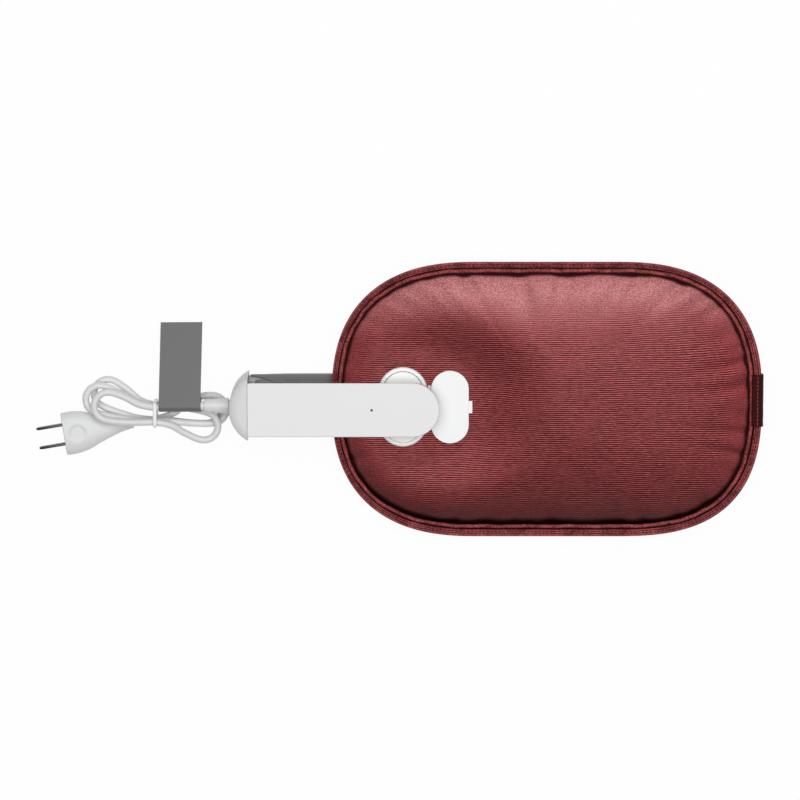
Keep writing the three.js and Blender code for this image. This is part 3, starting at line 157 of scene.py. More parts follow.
lead_height = level_height(levels) + waist_rise + lead_rise
plug_heading = math.radians(188.9)
plug_pitch = math.radians(6.5)
neck = Vector((-14.8, -7.2, 3.8))
plug_run = math.cos(plug_pitch)
heading_x, heading_y = math.cos(plug_heading), math.sin(plug_heading)
plug_way = Vector((heading_x * plug_run, heading_y * plug_run, math.sin(plug_pitch)))
gland_end = Vector((gland_low[0], gland_middle[1], gland_middle[2])) - tie_place
along = Vector((cord_diameter, 0, 0))
route = [
    gland_end,
    gland_end - along,
    Vector((2 * cord_diameter, waist, lead_height)),
    Vector((cord_diameter, waist, lead_height)),
    Vector((-0.6, waist, lead_height)),
]
waist_point = route[-1]
for turn in range(3):
    level = levels - turn
    low = Vector((0, -waist, level_height(level) + waist_rise))
    add_loop(route, waist_point, left_shares[turn], low, level)
    below = level_height(level - 1) + waist_rise
    waist_point = Vector((0, -waist if turn == 2 else waist, below))
    add_loop(route, low, right_shares[turn], waist_point, level - 1)
route += [neck - plug_way * cord_diameter, neck]
cord_line = [(p + tie_place) * mm for p in smooth_line(route, 8)]

curve = bpy.data.curves.new("lead", "CURVE")
curve.dimensions = "3D"
curve.bevel_depth = cord_diameter / 2
curve.bevel_resolution = 5
spline = curve.splines.new("POLY")
spline.points.add(len(cord_line) - 1)
for point, p in zip(spline.points, cord_line):
    point.co = (*p, 1)
    point.radius = mm
lead = bpy.data.objects.new("lead", curve)
bpy.context.scene.collection.objects.link(lead)
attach(lead, base)
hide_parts("cord_lead", "cord_hank")


# The soft white sheath of the cable, with the faint unevenness of moulded PVC.
def new_material(name):
    material = bpy.data.materials.new(name)
    material.use_nodes = True
    return material, material.node_tree, material.node_tree.nodes["Principled BSDF"]


def add_node(tree, kind, inputs={}, **settings):
    """A node with its settings and with values or links for its inputs, by name or number."""
    node = tree.nodes.new(kind)
    for key, value in settings.items():
        setattr(node, key, value)
    for key, value in inputs.items():
        if isinstance(value, bpy.types.NodeSocket):
            tree.links.new(value, node.inputs[key])
        else:
            node.inputs[key].default_value = value
    return node


def link(tree, output, target):
    tree.links.new(output, target)


def number(tree, operation, first, second=0.0):
    return add_node(tree, "ShaderNodeMath", {0: first, 1: second}, operation=operation).outputs[0]


def noise(tree, place, scale, detail):
    inputs = {"Vector": place, "Scale": scale, "Detail": detail}
    return add_node(tree, "ShaderNodeTexNoise", inputs).outputs["Fac"]


def new_group(name, inputs, outputs):
    """A shader node group with named number or colour inputs and named outputs."""
    group = bpy.data.node_groups.new(name, "ShaderNodeTree")
    kinds = {"value": "NodeSocketFloat", "color": "NodeSocketColor", "normal": "NodeSocketVector"}
    for label, kind, default in inputs:
        socket = group.interface.new_socket(name=label, in_out="INPUT", socket_type=kinds[kind])
        socket.default_value = default
    for label, kind in outputs:
        group.interface.new_socket(name=label, in_out="OUTPUT", socket_type=kinds[kind])
    return group, add_node(group, "NodeGroupInput").outputs, add_node(group, "NodeGroupOutput").inputs


# Moulding grain: faint cloudiness in colour and gloss, and a fine spark-eroded texture
grain_group, grain_in, grain_out = new_group(
    "moulding_grain",
    [
        ("Color", "color", (1, 1, 1, 1)),
        ("Roughness", "value", 0.4),
        ("Grain Size", "value", 0.0004),
        ("Depth", "value", 0.00002),
        ("Cloud", "value", 0.03),
    ],
    [("Color", "color"), ("Roughness", "value"), ("Height", "value")],
)
grain_place = add_node(grain_group, "ShaderNodeTexCoord").outputs["Object"]
per_grain = number(grain_group, "DIVIDE", 1.0, grain_in["Grain Size"])
cloud = number(grain_group, "SUBTRACT", noise(grain_group, grain_place, 55.0, 3.0), 0.5)
swing = number(grain_group, "MULTIPLY", cloud, grain_in["Cloud"])
tint = {0: grain_in["Color"], "Scale": number(grain_group, "ADD", 1.0, swing)}
tinted = add_node(grain_group, "ShaderNodeVectorMath", tint, operation="SCALE")
rough = number(grain_group, "ADD", grain_in["Roughness"], swing)
depth = number(grain_group, "MULTIPLY", noise(grain_group, grain_place, per_grain, 2.0), grain_in["Depth"])
link(grain_group, tinted.outputs[0], grain_out["Color"])
link(grain_group, rough, grain_out["Roughness"])
link(grain_group, depth, grain_out["Height"])


def moulded_material(name, color, roughness, grain_size=0.0004, depth=0.00002, cloud_share=0.03, metallic=0):
    material, tree, shader = new_material(name)
    values = {"Color": (*color, 1), "Roughness": roughness, "Grain Size": grain_size}
    values.update({"Depth": depth, "Cloud": cloud_share})
    group = add_node(tree, "ShaderNodeGroup", values, node_tree=grain_group)
    bump = add_node(tree, "ShaderNodeBump", {"Height": group.outputs["Height"], "Distance": 1.0})
    link(tree, group.outputs["Color"], shader.inputs["Base Color"])
    link(tree, group.outputs["Roughness"], shader.inputs["Roughness"])
    link(tree, bump.outputs["Normal"], shader.inputs["Normal"])
    shader.inputs["Metallic"].default_value = metallic
    return material


def dress(piece, material):
    """The material on the whole of a piece, in place of what it has."""
    materials = piece.data.materials
    if not materials:
        materials.append(material)
    for i in range(len(materials)):
        materials[i] = material


sheath = moulded_material("cable_sheath", (0.74, 0.74, 0.74), 0.38, 0.0011, 0.00003, 0.05)
sheath.node_tree.nodes["Principled BSDF"].inputs["Subsurface Weight"].default_value = 0.03
dress(lead, sheath)


# Bag cover: two panels of ribbed velour, sewn together round the rim with the fill pressing them out.
# The crown is drawn down into small gathers along the seam, pressed flat under the port and lifted
# over the clip's lower arm.
bag_length = 280
bag_width = 180
bag_straight = 90
press_stretch = 1.6
bag_thickness = 40
outline_power = 2.5
full_corner_power = 2.72
crown_power = 2.2
crown_softness = 0.6
rest_share = 0.62
rim_height = 16.5
seam_lip = 0.8
crown_inset = 7.0
top_and_bottom_inset = 0.7
gather_inset = 0.8
seam_inset = 2
cloth = 1.6
around = 480
crown_rings = 56
fold_reach = 1.7
shaded_reach = 3.2
seam_slack = 1.5
port_low, port_high, (port_x, port_y, _) = box_mm(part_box("port_body"))
port_width = port_high[0] - port_low[0]
port_length = port_high[1] - port_low[1]
pad_low, pad_high, _ = box_mm(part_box("grip_pad"))
pad_tip = pad_high[0]
pad_width = pad_high[1] - pad_low[1]
press_gap = 0.5
pinched_bag = 16.1
lift_height = pad_high[2] + press_gap
seat_height = lift_height + pinched_bag
press_flat, press_fade = 11, 48
lift_flat, lift_fade = 12, 40
press_rim_share = 0.85
fine_steps = 2880


def edge_point(turn):
    c, s = math.cos(turn), math.sin(turn)
    power = full_corner_power if c > 0 > s else outline_power
    x = math.copysign(bag_straight / 2 + (bag_length - bag_straight) / 2 * abs(c) ** (2 / power), c)
    y = math.copysign(bag_width / 2 * abs(s) ** (2 / power), s)
    return Vector((x, y))


def spaced(start, span, steps):
    """Evenly spaced values from a start across a span, with both ends."""
    return [start + span * i / steps for i in range(steps + 1)]


def even_outline(count):
    """The bag's outline as evenly spaced points, each with its way in and its distance along."""
    fine_points = [edge_point(turn) for turn in spaced(0, 2 * math.pi, fine_steps)]
    far = [0.0]
    for a, b in zip(fine_points, fine_points[1:]):
        far.append(far[-1] + (b - a).length)
    found = []
    k = 0
    for i in range(count):
        wanted = far[-1] * i / count
        while far[k + 1] < wanted:
            k += 1
        t = (wanted - far[k]) / (far[k + 1] - far[k])
        found.append(fine_points[k].lerp(fine_points[k + 1], t))
    rim = []
    for i in range(count):
        run = (found[(i + 1) % count] - found[i - 1]).normalized()
        rim.append((found[i], Vector((-run.y, run.x)), far[-1] * i / count))
    return rim, far[-1]


rim, rim_length = even_outline(around)


def eased(value, low, high):
    t = min(max((value - low) / (high - low), 0), 1)
    return t * t * (3 - 2 * t)


def port_press(x, y, share):
    radius = port_width / 2
    aside = max(abs(y - port_y) - (port_length / 2 - radius), 0)
    away = math.hypot((x - port_x) / press_stretch, aside) - radius
    return (1 - eased(away, press_flat, press_fade)) * (1 - eased(share, press_rim_share, 1))


def arm_lift(x, y):
    radius = pad_width / 2
    away = math.hypot(max(x - (pad_tip - radius - press_gap), 0), y - port_y) - radius
    return 1 - eased(away, lift_flat, lift_fade)


def top_height(x, y, share):
    low = rim_height + seam_lip
    free = low + (bag_thickness - low) * (1 - min(share, 1) ** crown_power) ** crown_softness
    press = port_press(x, y, share)
    return free + (seat_height - free) * press


def under_height(x, y, share):
    low = rim_height - seam_lip
    free = low * (max(share - rest_share, 0) / (1 - rest_share)) ** 2
    return free + max(lift_height - free, 0) * arm_lift(x, y)


# Each gather has a place along the seam, a width, a depth, a reach in from the seam and a slant.
# The first are the plain ones along the label side, by their x, and the ones beside the loop.
chance = random.Random(7)
gathers = []
for x, width, deep, reach in (
    (-54, 5, 1.3, 16), (-20, 6, 1.6, 22), (15, 7, 1.8, 26), (55, 6, 1.7, 22), (90, 5, 1.5, 20)
):
    nearest = min(rim, key=lambda r: abs(r[0].x - x) + abs(r[0].y - bag_width / 2))
    gathers.append((nearest[2], width, deep, reach, 0.1))
for far_along, width, deep, reach in (
    (-38, 3, 1.1, 24), (-22, 3.5, 1.3, 30), (10, 3, 1.2, 28), (27, 4, 1.2, 24)
):
    gathers.append((far_along % rim_length, width, deep, reach, -0.1))
place_along = 0.0
while place_along < rim_length:
    place_along += chance.uniform(9, 24)
    size = (chance.uniform(3, 7), chance.uniform(0.2, 0.95), chance.uniform(9, 24), chance.uniform(-0.4, 0.4))
    gathers.append((place_along, *size))


def gather_depth(far, inward):
    depth = 0.0
    for along_seam, width, deep, reach, slant in gathers:
        off = (far - along_seam - slant * inward + rim_length / 2) % rim_length - rim_length / 2
        spread = width * (1 + inward / 22)
        if abs(off) < 3 * spread:
            depth += deep * math.exp(-((off / spread) ** 2)) * math.exp(-((inward / reach) ** 2))
    return depth


def mesh_object(name, points, faces, smooth_angle=35):
    mesh = bpy.data.meshes.new(name)
    mesh.from_pydata([tuple(p) for p in points], [], faces)
    mesh.update()
    piece = bpy.data.objects.new(name, mesh)
    bpy.context.scene.collection.objects.link(piece)
    bm = bmesh.new()
    bm.from_mesh(mesh)
    bmesh.ops.recalc_face_normals(bm, faces=bm.faces)
    bm.to_mesh(mesh)
    bm.free()
    mesh.shade_smooth()
    mesh.set_sharp_from_angle(angle=math.radians(smooth_angle))
    return piece


def ring_faces(rows, count, closed=False, offset=0):
    faces = []
    for i in range(rows if closed else rows - 1):
        for k in range(count):
            a = offset + i * count + k
            b = offset + i * count + (k + 1) % count
            c = offset + (i + 1) % rows * count + (k + 1) % count
            d = offset + (i + 1) % rows * count + k
            faces.append((a, b, c, d))
    return faces


def slack(inward):
    """How much further in the seam is sewn on the two sides away from the clip and the label."""
    return seam_slack * eased(inward.y - inward.x, -0.6, 0.9)


def panel(name, side):
    """One sewn panel, from its middle out to the seam and back along its inside.
    Each point keeps how deep it lies in the seam's fold, for the shade painted into the crease, and how far in,
    for the cloth's brushed edge."""
    height = top_height if side > 0 else under_height
    shares = [1 - (1 - i / crown_rings) ** 1.6 for i in range(1, crown_rings)]
    shares += [0.9985, 1.0]

    def skin(depth, stop):
        rows = []
        for share in shares[:stop]:
            row = []
            for point, inward, far in rim:
                notch = gather_inset * gather_depth(far, 0)
                inset = crown_inset + top_and_bottom_inset * abs(inward.y) + slack(inward) + notch
                edge = point + inward * inset
                x, y = edge.x * share, edge.y * share
                reach = (1 - share) * edge.length
                drawn = gather_depth(far, reach) if depth == 0 or share < 0.97 else 0
                pull = 1 if side > 0 else 0.5
                near = min(1, 0.35 + 0.65 * reach / 5)
                z = height(x, y, share) - side * (depth + pull * near * drawn * (1 - port_press(x, y, share)))
                # How deep the point lies in the seam's fold: the cloth is painted dark there, a painted shade for
                # the crease, reaching further in on the label's side.
                fold = 1 - eased(reach, 0, fold_reach + (shaded_reach + notch) * max(0, inward.y))
                row.append((Vector((x, y, z if side > 0 else max(z, 0))), (fold, reach * mm, 0)))
            rows.append(row)
        return rows

    outer = skin(0, len(shares))
    inner = skin(cloth, len(shares) - 4)
    lip = rim_height + side * seam_lip
    under_lip = rim_height + side * 0.15
    inside = crown_inset + top_and_bottom_inset + seam_slack + cloth
    folded = ((seam_inset, lip), (seam_inset, under_lip), (inside, under_lip))
    seam = [[(Vector((*(p + n * inset), z)), (1, 0, 0)) for p, n, far in rim] for inset, z in folded]
    rows = outer + seam + inner[::-1]
    points = [p for row in rows for p in row]
    faces = ring_faces(len(rows), around)
    middle = (0, bag_width / 2 * mm, 0)
    points += [(Vector((0, 0, height(0, 0, 0) - drop)), middle) for drop in (0, side * cloth)]
    start = len(points) - 2
    end_row = (len(rows) - 1) * around
    for k in range(around):
        faces.append((start, (k + 1) % around, k))
        faces.append((start + 1, end_row + k, end_row + (k + 1) % around))
    piece = mesh_object(name, [p for p, seam in points], faces, 60)
    seam_values = [value for p, seam in points for value in seam]
    piece.data.attributes.new("seam", "FLOAT_VECTOR", "POINT").data.foreach_set("vector", seam_values)
    return piece


cover_top = panel("bag_cover_top", 1)
cover_bottom = panel("bag_cover_bottom", -1)

# The port's cup comes through a hole in the upper panel, hidden by the port's flange
bm = bmesh.new()
bm.from_mesh(cover_top.data)
hole_half_width = 11.5
hole_half_length = 20.5
gone = []
for face in bm.faces:
    middle = face.calc_center_median()
    aside = max(abs(middle.y - port_y) - (hole_half_length - hole_half_width), 0)
    if math.hypot(middle.x - port_x, aside) < hole_half_width:
        gone.append(face)
bmesh.ops.delete(bm, geom=gone, context="FACES")
bm.to_mesh(cover_top.data)
bm.free()


def to_metres(piece):
    for vertex in piece.data.vertices:
        vertex.co *= mm
    piece.data.update()


for piece, node in ((cover_top, "cover_top"), (cover_bottom, "cover_bottom")):
    to_metres(piece)
    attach(piece, base)
    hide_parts(node)

# Ribbed velour: fine ribs along the bag, broken into short flecks, that waver and fade along slanting lines, with
# painted highlight on their crests and painted shade in their troughs. The pile is brushed flat near the seam,
# painted paler on the label's side as a painted highlight, and painted dark in its fold as a painted shade.
rib_pitch = 0.00135
fade_pitch = 0.0114
velour, tree, shader = new_material("ribbed_velour")
where = add_node(tree, "ShaderNodeTexCoord").outputs["Object"]


def ranged(tree, value, low, high, to_low=0.0, to_high=1.0):
    """A value carried from one range to another, and kept inside it."""
    places = {"Value": value, "From Min": low, "From Max": high, "To Min": to_low, "To Max": to_high}
    return add_node(tree, "ShaderNodeMapRange", places).outputs[0]


def blend(tree, share, first, second):
    mix = add_node(tree, "ShaderNodeMix", {"Factor": share, 6: first, 7: second}, data_type="RGBA")
    return mix.outputs[2]


parts = add_node(tree, "ShaderNodeSeparateXYZ", {0: where})
seam = add_node(tree, "ShaderNodeAttribute", attribute_name="seam").outputs["Vector"]
seam_parts = add_node(tree, "ShaderNodeSeparateXYZ", {0: seam})
fold, reach = seam_parts.outputs["X"], seam_parts.outputs["Y"]
sway = noise(tree, where, 22.0, 3.0)
wander = number(tree, "MULTIPLY", sway, 0.0032)
fan = ranged(tree, parts.outputs["X"], 0.05, 0.135, 1.0, 0.92)
fanned = number(tree, "MULTIPLY", parts.outputs["Y"], fan)
across = number(tree, "ADD", fanned, wander)
swell = number(tree, "SINE", number(tree, "MULTIPLY", across, 2 * math.pi / rib_pitch))
wave = ranged(tree, swell, -1.0, 1.0)
rib = number(tree, "POWER", wave, 1.8)
stretched = add_node(tree, "ShaderNodeMapping", {"Vector": where, "Scale": (0.28, 1.0, 1.0)}).outputs[0]
fleck = noise(tree, stretched, 900.0, 2.0)
fleck_share = ranged(tree, fleck, 0.34, 0.66, 0.5, 1.05)
slanting = number(tree, "SUBTRACT", parts.outputs["X"], parts.outputs["Y"])
fades = number(tree, "MULTIPLY", slanting, math.pi / fade_pitch)
fade_place = number(tree, "ADD", fades, number(tree, "MULTIPLY", sway, 14.0))
clear = ranged(tree, number(tree, "ABSOLUTE", number(tree, "SINE", fade_place)), 0.1, 0.6, 0.3, 1.0)
patch = ranged(tree, noise(tree, where, 30.0, 4.0), 0.3, 0.7)
drift = number(tree, "ADD", parts.outputs["Y"], number(tree, "MULTIPLY", patch, 0.01))
# Near the label's side the pile is brushed smooth, and this mask also paints the paler highlight there.
brushed_and_highlit_above = ranged(tree, drift, 0.045, 0.074, 0.0, 0.95)
brushed_below = ranged(tree, drift, -0.056, -0.074, 0.0, 0.8)
edge_drift = number(tree, "ADD", reach, number(tree, "MULTIPLY", patch, 0.008))
brushed_edge = ranged(tree, edge_drift, 0.022, 0.008, 0.0, 0.9)
brushed = number(tree, "MAXIMUM", number(tree, "MAXIMUM", brushed_and_highlit_above, brushed_below), brushed_edge)
# The ribs' colour follows their height: the crests are painted light and the troughs dark, painted highlight and
# shade laid on the rib pattern.
crest = number(tree, "MULTIPLY", rib, fleck_share)
even = number(tree, "SUBTRACT", 0.31, number(tree, "MULTIPLY", clear, 0.31))
crest = number(tree, "ADD", number(tree, "MULTIPLY", crest, clear), even)
# Painted shade: the near-black colour of the troughs between the ribs.
pile = blend(tree, patch, (0.032, 0.002, 0.003, 1), (0.055, 0.004, 0.006, 1))
ribbed = blend(tree, crest, pile, (0.68, 0.135, 0.14, 1))
speck = ranged(tree, noise(tree, where, 1100.0, 2.0), 0.35, 0.65)
deep = blend(tree, speck, (0.17, 0.025, 0.028, 1), (0.35, 0.068, 0.073, 1))
# Painted highlight: a paler, whiter colour for the brushed pile on the label's side, where the light falls on the
# crown.
pale = blend(tree, speck, (0.2, 0.055, 0.058, 1), (0.46, 0.18, 0.18, 1))
flat = blend(tree, brushed_and_highlit_above, deep, pale)
open_cloth = blend(tree, brushed, ribbed, flat)
# Painted shade: deep in the seam's fold the cloth turns almost black, where the crease is shaded.
shaded_cloth = blend(tree, fold, open_cloth, (0.02, 0.001, 0.0015, 1))
rib_rise = ranged(tree, number(tree, "MAXIMUM", brushed, fold), 0.0, 1.0, 0.0002, 0.00003)
fleck_rise = number(tree, "MULTIPLY", fleck, 0.00008)
height = number(tree, "ADD", number(tree, "MULTIPLY", wave, rib_rise), fleck_rise)
bump = add_node(tree, "ShaderNodeBump", {"Height": height, "Distance": 1.0})
link(tree, shaded_cloth, shader.inputs["Base Color"])
link(tree, bump.outputs["Normal"], shader.inputs["Normal"])
link(tree, ranged(tree, fold, 0.0, 1.0, 0.42, 0.95), shader.inputs["Roughness"])
shader.inputs["Specular IOR Level"].default_value = 0.4
shader.inputs["Specular Tint"].default_value = (1, 0.5, 0.5, 1)
shader.inputs["Sheen Weight"].default_value = 0.03
shader.inputs["Sheen Roughness"].default_value = 0.35
shader.inputs["Sheen Tint"].default_value = (0.9, 0.5, 0.52, 1)
dress(cover_top, velour)
dress(cover_bottom, velour)


# Edge binding and seam piping: a woven tape folded round the raw seam, held by two rows of stitching,
# and a corded roll sewn on its inner side, where the crown rises out of a deep crease.
binding_width = 3.4
binding_half = 2.3
tape_corner = 0.9
groove_size = 0.5
stitch_lines = (1.5, 2.55)
spread_share = 0.7
tape_rim, tape_length = even_outline(600)


def swept(name, section, rim_points, wave):
    """A closed section, as distances in from the edge and heights, carried round the outline."""
    points = []
    for inset, z in section:
        for p, n, far in rim_points:
            drift, lift = wave(far, n, inset)
            points.append(Vector((*(p + n * (inset + drift)), rim_height + z + lift)))
    return mesh_object(name, points, ring_faces(len(section), len(rim_points), closed=True), 60)


def rounded(radius, steps=4):
    """Steps of a quarter circle: how far in and how far up, from the wall to the top face."""
    quarter = spaced(0, math.pi / 2, steps)
    return [(radius * (1 - math.cos(turn)), radius * math.sin(turn)) for turn in quarter]


def tape_section():
    """The tape's outline, from its fold over the grooved upper side and back along the underside."""
    top = [(inset, binding_half - tape_corner + rise) for inset, rise in rounded(tape_corner)]
    for line in stitch_lines:
        groove = ((-groove_size, binding_half), (0, binding_half - groove_size), (groove_size, binding_half))
        top += [(line + aside, z) for aside, z in groove]
    top += [(binding_width - 0.3, binding_half), (binding_width, binding_half - 0.3), (binding_width, 0.95)]
    return top + [(inset, -z) for inset, z in reversed(top)]


def spread(far, inward, inset):
    """The tape shows wider where the seam has slack."""
    return spread_share * slack(inward) * inset / binding_width, 0


def ripple(far, inward, inset):
    """The roll keeps to the crease, and wavers a little."""
    drift = 0.16 * math.sin(far * 0.21) + 0.1 * math.sin(far * 0.47 + 1.1)
    return slack(inward) + drift, 0.12 * math.sin(far * 0.33 + 0.4)


binding = swept("edge_binding_tape", tape_section(), tape_rim, spread)


def turns(count):
    return [2 * math.pi * k / count for k in range(count)]


piping_radius = 1.15
piping_inset, piping_rise = 5.4, 2.4
piping_section = []
for turn in turns(12):
    inset = piping_inset + piping_radius * math.cos(turn)
    piping_section.append((inset, piping_rise + piping_radius * math.sin(turn)))
piping = swept("seam_piping_roll", piping_section, tape_rim, ripple)


# Stitches: short threads laid end to end in the tape's two grooves
def add_stitch(points, faces, middle, run, side, sizes):
    """A six-sided thread along run, with its half thickness at each of four distances from its middle."""
    start = len(points)
    for t, size in sizes:
        for turn in turns(6):
            offset = side * math.cos(turn) * size + Vector((0, 0, math.sin(turn) * size))
            points.append(middle + run * t + offset)
    faces += ring_faces(4, 6, offset=start)
    faces.append(tuple(start + k for k in range(6)))
    faces.append(tuple(start + 18 + k for k in reversed(range(6))))


stitch_points = []
stitch_faces = []
stitch_pitch = 2.6
stitch_sink = 0.3
stitch_sizes = ((-1.0, 0.12), (-0.6, 0.3), (0.6, 0.3), (1.0, 0.12))
stitch_rim, _ = even_outline(int(tape_length / stitch_pitch))
for line in stitch_lines:
    for p, n, far in stitch_rim:
        inset = line + spread(far, n, line)[0]
        middle = Vector((*(p + n * inset), rim_height + binding_half - stitch_sink))
        add_stitch(stitch_points, stitch_faces, middle, Vector((n.y, -n.x, 0)), Vector((*n, 0)), stitch_sizes)
stitches = mesh_object("binding_stitches", stitch_points, stitch_faces)

weave_group, weave_in, weave_out = new_group(
    "tape_weave",
    [
        ("Light", "color", (1, 1, 1, 1)),
        ("Dark", "color", (0.1, 0.1, 0.1, 1)),
        ("Pitch", "value", 0.0006),
        ("Depth", "value", 0.00008),
    ],
    [("Color", "color"), ("Height", "value")],
)
weave_place = add_node(weave_group, "ShaderNodeTexCoord").outputs["Object"]
per_pitch = number(weave_group, "DIVIDE", 1.0, weave_in["Pitch"])
yarns = add_node(weave_group, "ShaderNodeTexVoronoi", {"Vector": weave_place, "Scale": per_pitch})
cells = yarns.outputs["Distance"]
# Each yarn is painted lighter at its middle and darker towards its edges, where the bump sinks: painted shade
# between the yarns, with some random tone.
uneven = number(weave_group, "ADD", cells, noise(weave_group, weave_place, 140.0, 3.0))
yarn = blend(weave_group, ranged(weave_group, uneven, 0.4, 1.3), weave_in["Light"], weave_in["Dark"])
drop = number(weave_group, "MULTIPLY", cells, weave_in["Depth"])
link(weave_group, yarn, weave_out["Color"])
link(weave_group, number(weave_group, "SUBTRACT", 0.0, drop), weave_out["Height"])


def woven_material(name, light, dark, pitch, weave_depth, roughness, sheen):
    material, tree, shader = new_material(name)
    values = {"Light": (*light, 1), "Dark": (*dark, 1), "Pitch": pitch, "Depth": weave_depth}
    group = add_node(tree, "ShaderNodeGroup", values, node_tree=weave_group)
    bump = add_node(tree, "ShaderNodeBump", {"Height": group.outputs["Height"], "Distance": 1.0})
    link(tree, group.outputs["Color"], shader.inputs["Base Color"])
    link(tree, bump.outputs["Normal"], shader.inputs["Normal"])
    shader.inputs["Roughness"].default_value = roughness
    shader.inputs["Sheen Weight"].default_value = sheen
    shader.inputs["Specular Tint"].default_value = (1, 0.5, 0.5, 1)
    shader.inputs["Sheen Roughness"].default_value = 0.4
    shader.inputs["Sheen Tint"].default_value = (0.95, 0.6, 0.62, 1)
    return material


# The tape's own colour, and the shade painted between its yarns.
tape_color, tape_shade = (0.56, 0.125, 0.13), (0.1, 0.009, 0.011)
tape_cloth = woven_material("binding_tape", tape_color, tape_shade, 0.0008, 0.00014, 0.6, 0.03)
thread_color, thread_shade = (0.03, 0.002, 0.003), (0.014, 0.001, 0.0015)
dark_thread = woven_material("binding_thread", thread_color, thread_shade, 0.0004, 0.00004, 0.6, 0.0)
for piece, material in ((binding, tape_cloth), (piping, tape_cloth), (stitches, dark_thread)):
    to_metres(piece)
    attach(piece, base)
    dress(piece, material)
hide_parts("edge_binding")
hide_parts("seam_piping")


# Hanging loop: a dark woven satin ribbon, folded over the bag's far edge. Its ends lie above and below
# the seam, and a row of pale thread sews them through it.
loop_low, loop_high, _ = (Vector(corner) for corner in box_mm(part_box("hanging_loop")))
ribbon = 0.6
fold_x = loop_high.x - 0.8


def stepped(x, z, steps):
    """Points of an outline, given as steps from one corner."""
    return [(x + along, z + up) for along, up in steps]


def stack(name, rows, smooth_angle=40):
    """A closed skin through rows of points, each a ring round the piece, with a flat cap at each end."""
    count = len(rows[0])
    faces = ring_faces(len(rows), count)
    faces.append(tuple(range(count)))
    faces.append(tuple((len(rows) - 1) * count + k for k in reversed(range(count))))
    return mesh_object(name, [p for row in rows for p in row], faces, smooth_angle)


loop_outer = stepped(fold_x, loop_low.z, ((-5.9, 0), (-1.4, 0), (-0.4, 0.5), (0, 1.6)))
loop_outer += stepped(fold_x, loop_high.z, ((0, -1.9), (-0.45, -0.6), (-1.6, 0), (-5.2, -0.1), (-7, -0.3)))
loop_outer += stepped(loop_low.x, loop_high.z, ((0.6, -0.5), (0, -0.9)))
loop_inner = stepped(fold_x, loop_low.z, ((-5.9, ribbon), (-1.6, ribbon), (-0.9, 1.2), (-ribbon, 2)))
loop_inner += stepped(fold_x, loop_high.z, ((-ribbon, -2.1), (-0.9, -1.2), (-1.9, -ribbon)))
loop_inner += stepped(fold_x, loop_high.z, ((-5.2, -ribbon), (-7, -1.2)))
loop_inner += stepped(loop_low.x, loop_high.z, ((0.6, -1.3), (0, -1.5)))
loop_section = loop_outer + loop_inner[::-1]
rows = []
for y in spaced(loop_low.y, loop_high.y - loop_low.y, 40):
    bulge = 0.25 * math.sin(y * 0.35) + 0.15 * math.sin(y * 0.9 + 1)
    rows.append([Vector((x - 0.3 * abs(bulge), y, z - 0.15 + 0.15 * bulge)) for x, z in loop_section])
hanging_loop = stack("hanging_loop_ribbon", rows, 50)
to_metres(hanging_loop)
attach(hanging_loop, base)
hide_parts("hanging_loop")
ribbon_color, ribbon_shade = (0.06, 0.005, 0.007), (0.025, 0.002, 0.003)
satin = woven_material("satin_ribbon", ribbon_color, ribbon_shade, 0.0005, 0.00003, 0.42, 0.0)
dress(hanging_loop, satin)

seam_points = []
seam_faces = []
seam_pitch = 2.5
seam_sizes = ((0, 0.08), (0.35, 0.22), (1.55, 0.22), (1.9, 0.08))
middle = Vector((fold_x - 3.9, loop_low.y + 0.8, loop_high.z - 0.12))
while middle.y < loop_high.y - 2.4:
    add_stitch(seam_points, seam_faces, middle, Vector((0, 1, 0)), Vector((1, 0, 0)), seam_sizes)
    middle.y += seam_pitch
loop_seams = mesh_object("hanging_loop_stitches", seam_points, seam_faces)
to_metres(loop_seams)
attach(loop_seams, base)
pale_thread = woven_material("pale_thread", (0.42, 0.16, 0.16), (0.3, 0.1, 0.1), 0.0003, 0.00003, 0.6, 0.05)
dress(loop_seams, pale_thread)


# Charging port: a glossy white moulding set into the cloth, with a rolled rim, a shallow recess that
# the clip's connector fills, and a deep cup with the two contact pins.
stadium_steps = 112


def stadium(width, length, z, inset, x, y):
    """A ring with two straight sides along Y and two round ends."""
    radius = width / 2 - inset
    straight = length / 2 - width / 2
    points = []
    for turn in turns(stadium_steps):
        turn += math.pi / stadium_steps
        aside = radius * math.sin(turn) + math.copysign(straight, math.sin(turn))
        points.append(Vector((x + radius * math.cos(turn), y + aside, z)))
    return points


def fit_out(piece, material):
    """A moulding in metres, with the shading of its flat faces kept even, in its material."""
    to_metres(piece)
    piece.modifiers.new("even_shading", "WEIGHTED_NORMAL").keep_sharp = True
    dress(piece, material)


flange_height = 3.3
flange_top = port_high[2]
flange_bottom = flange_top - flange_height
cup_bottom = port_low[2]
recess_width, recess_length, recess_depth = 26.5, 47.5, 2.2
cup_width, cup_length, cup_wall = 18.8, 36.8, 1.5


def port_row(width, length, z, inset=0.0):
    return stadium(width, length, z, inset, port_x, port_y)


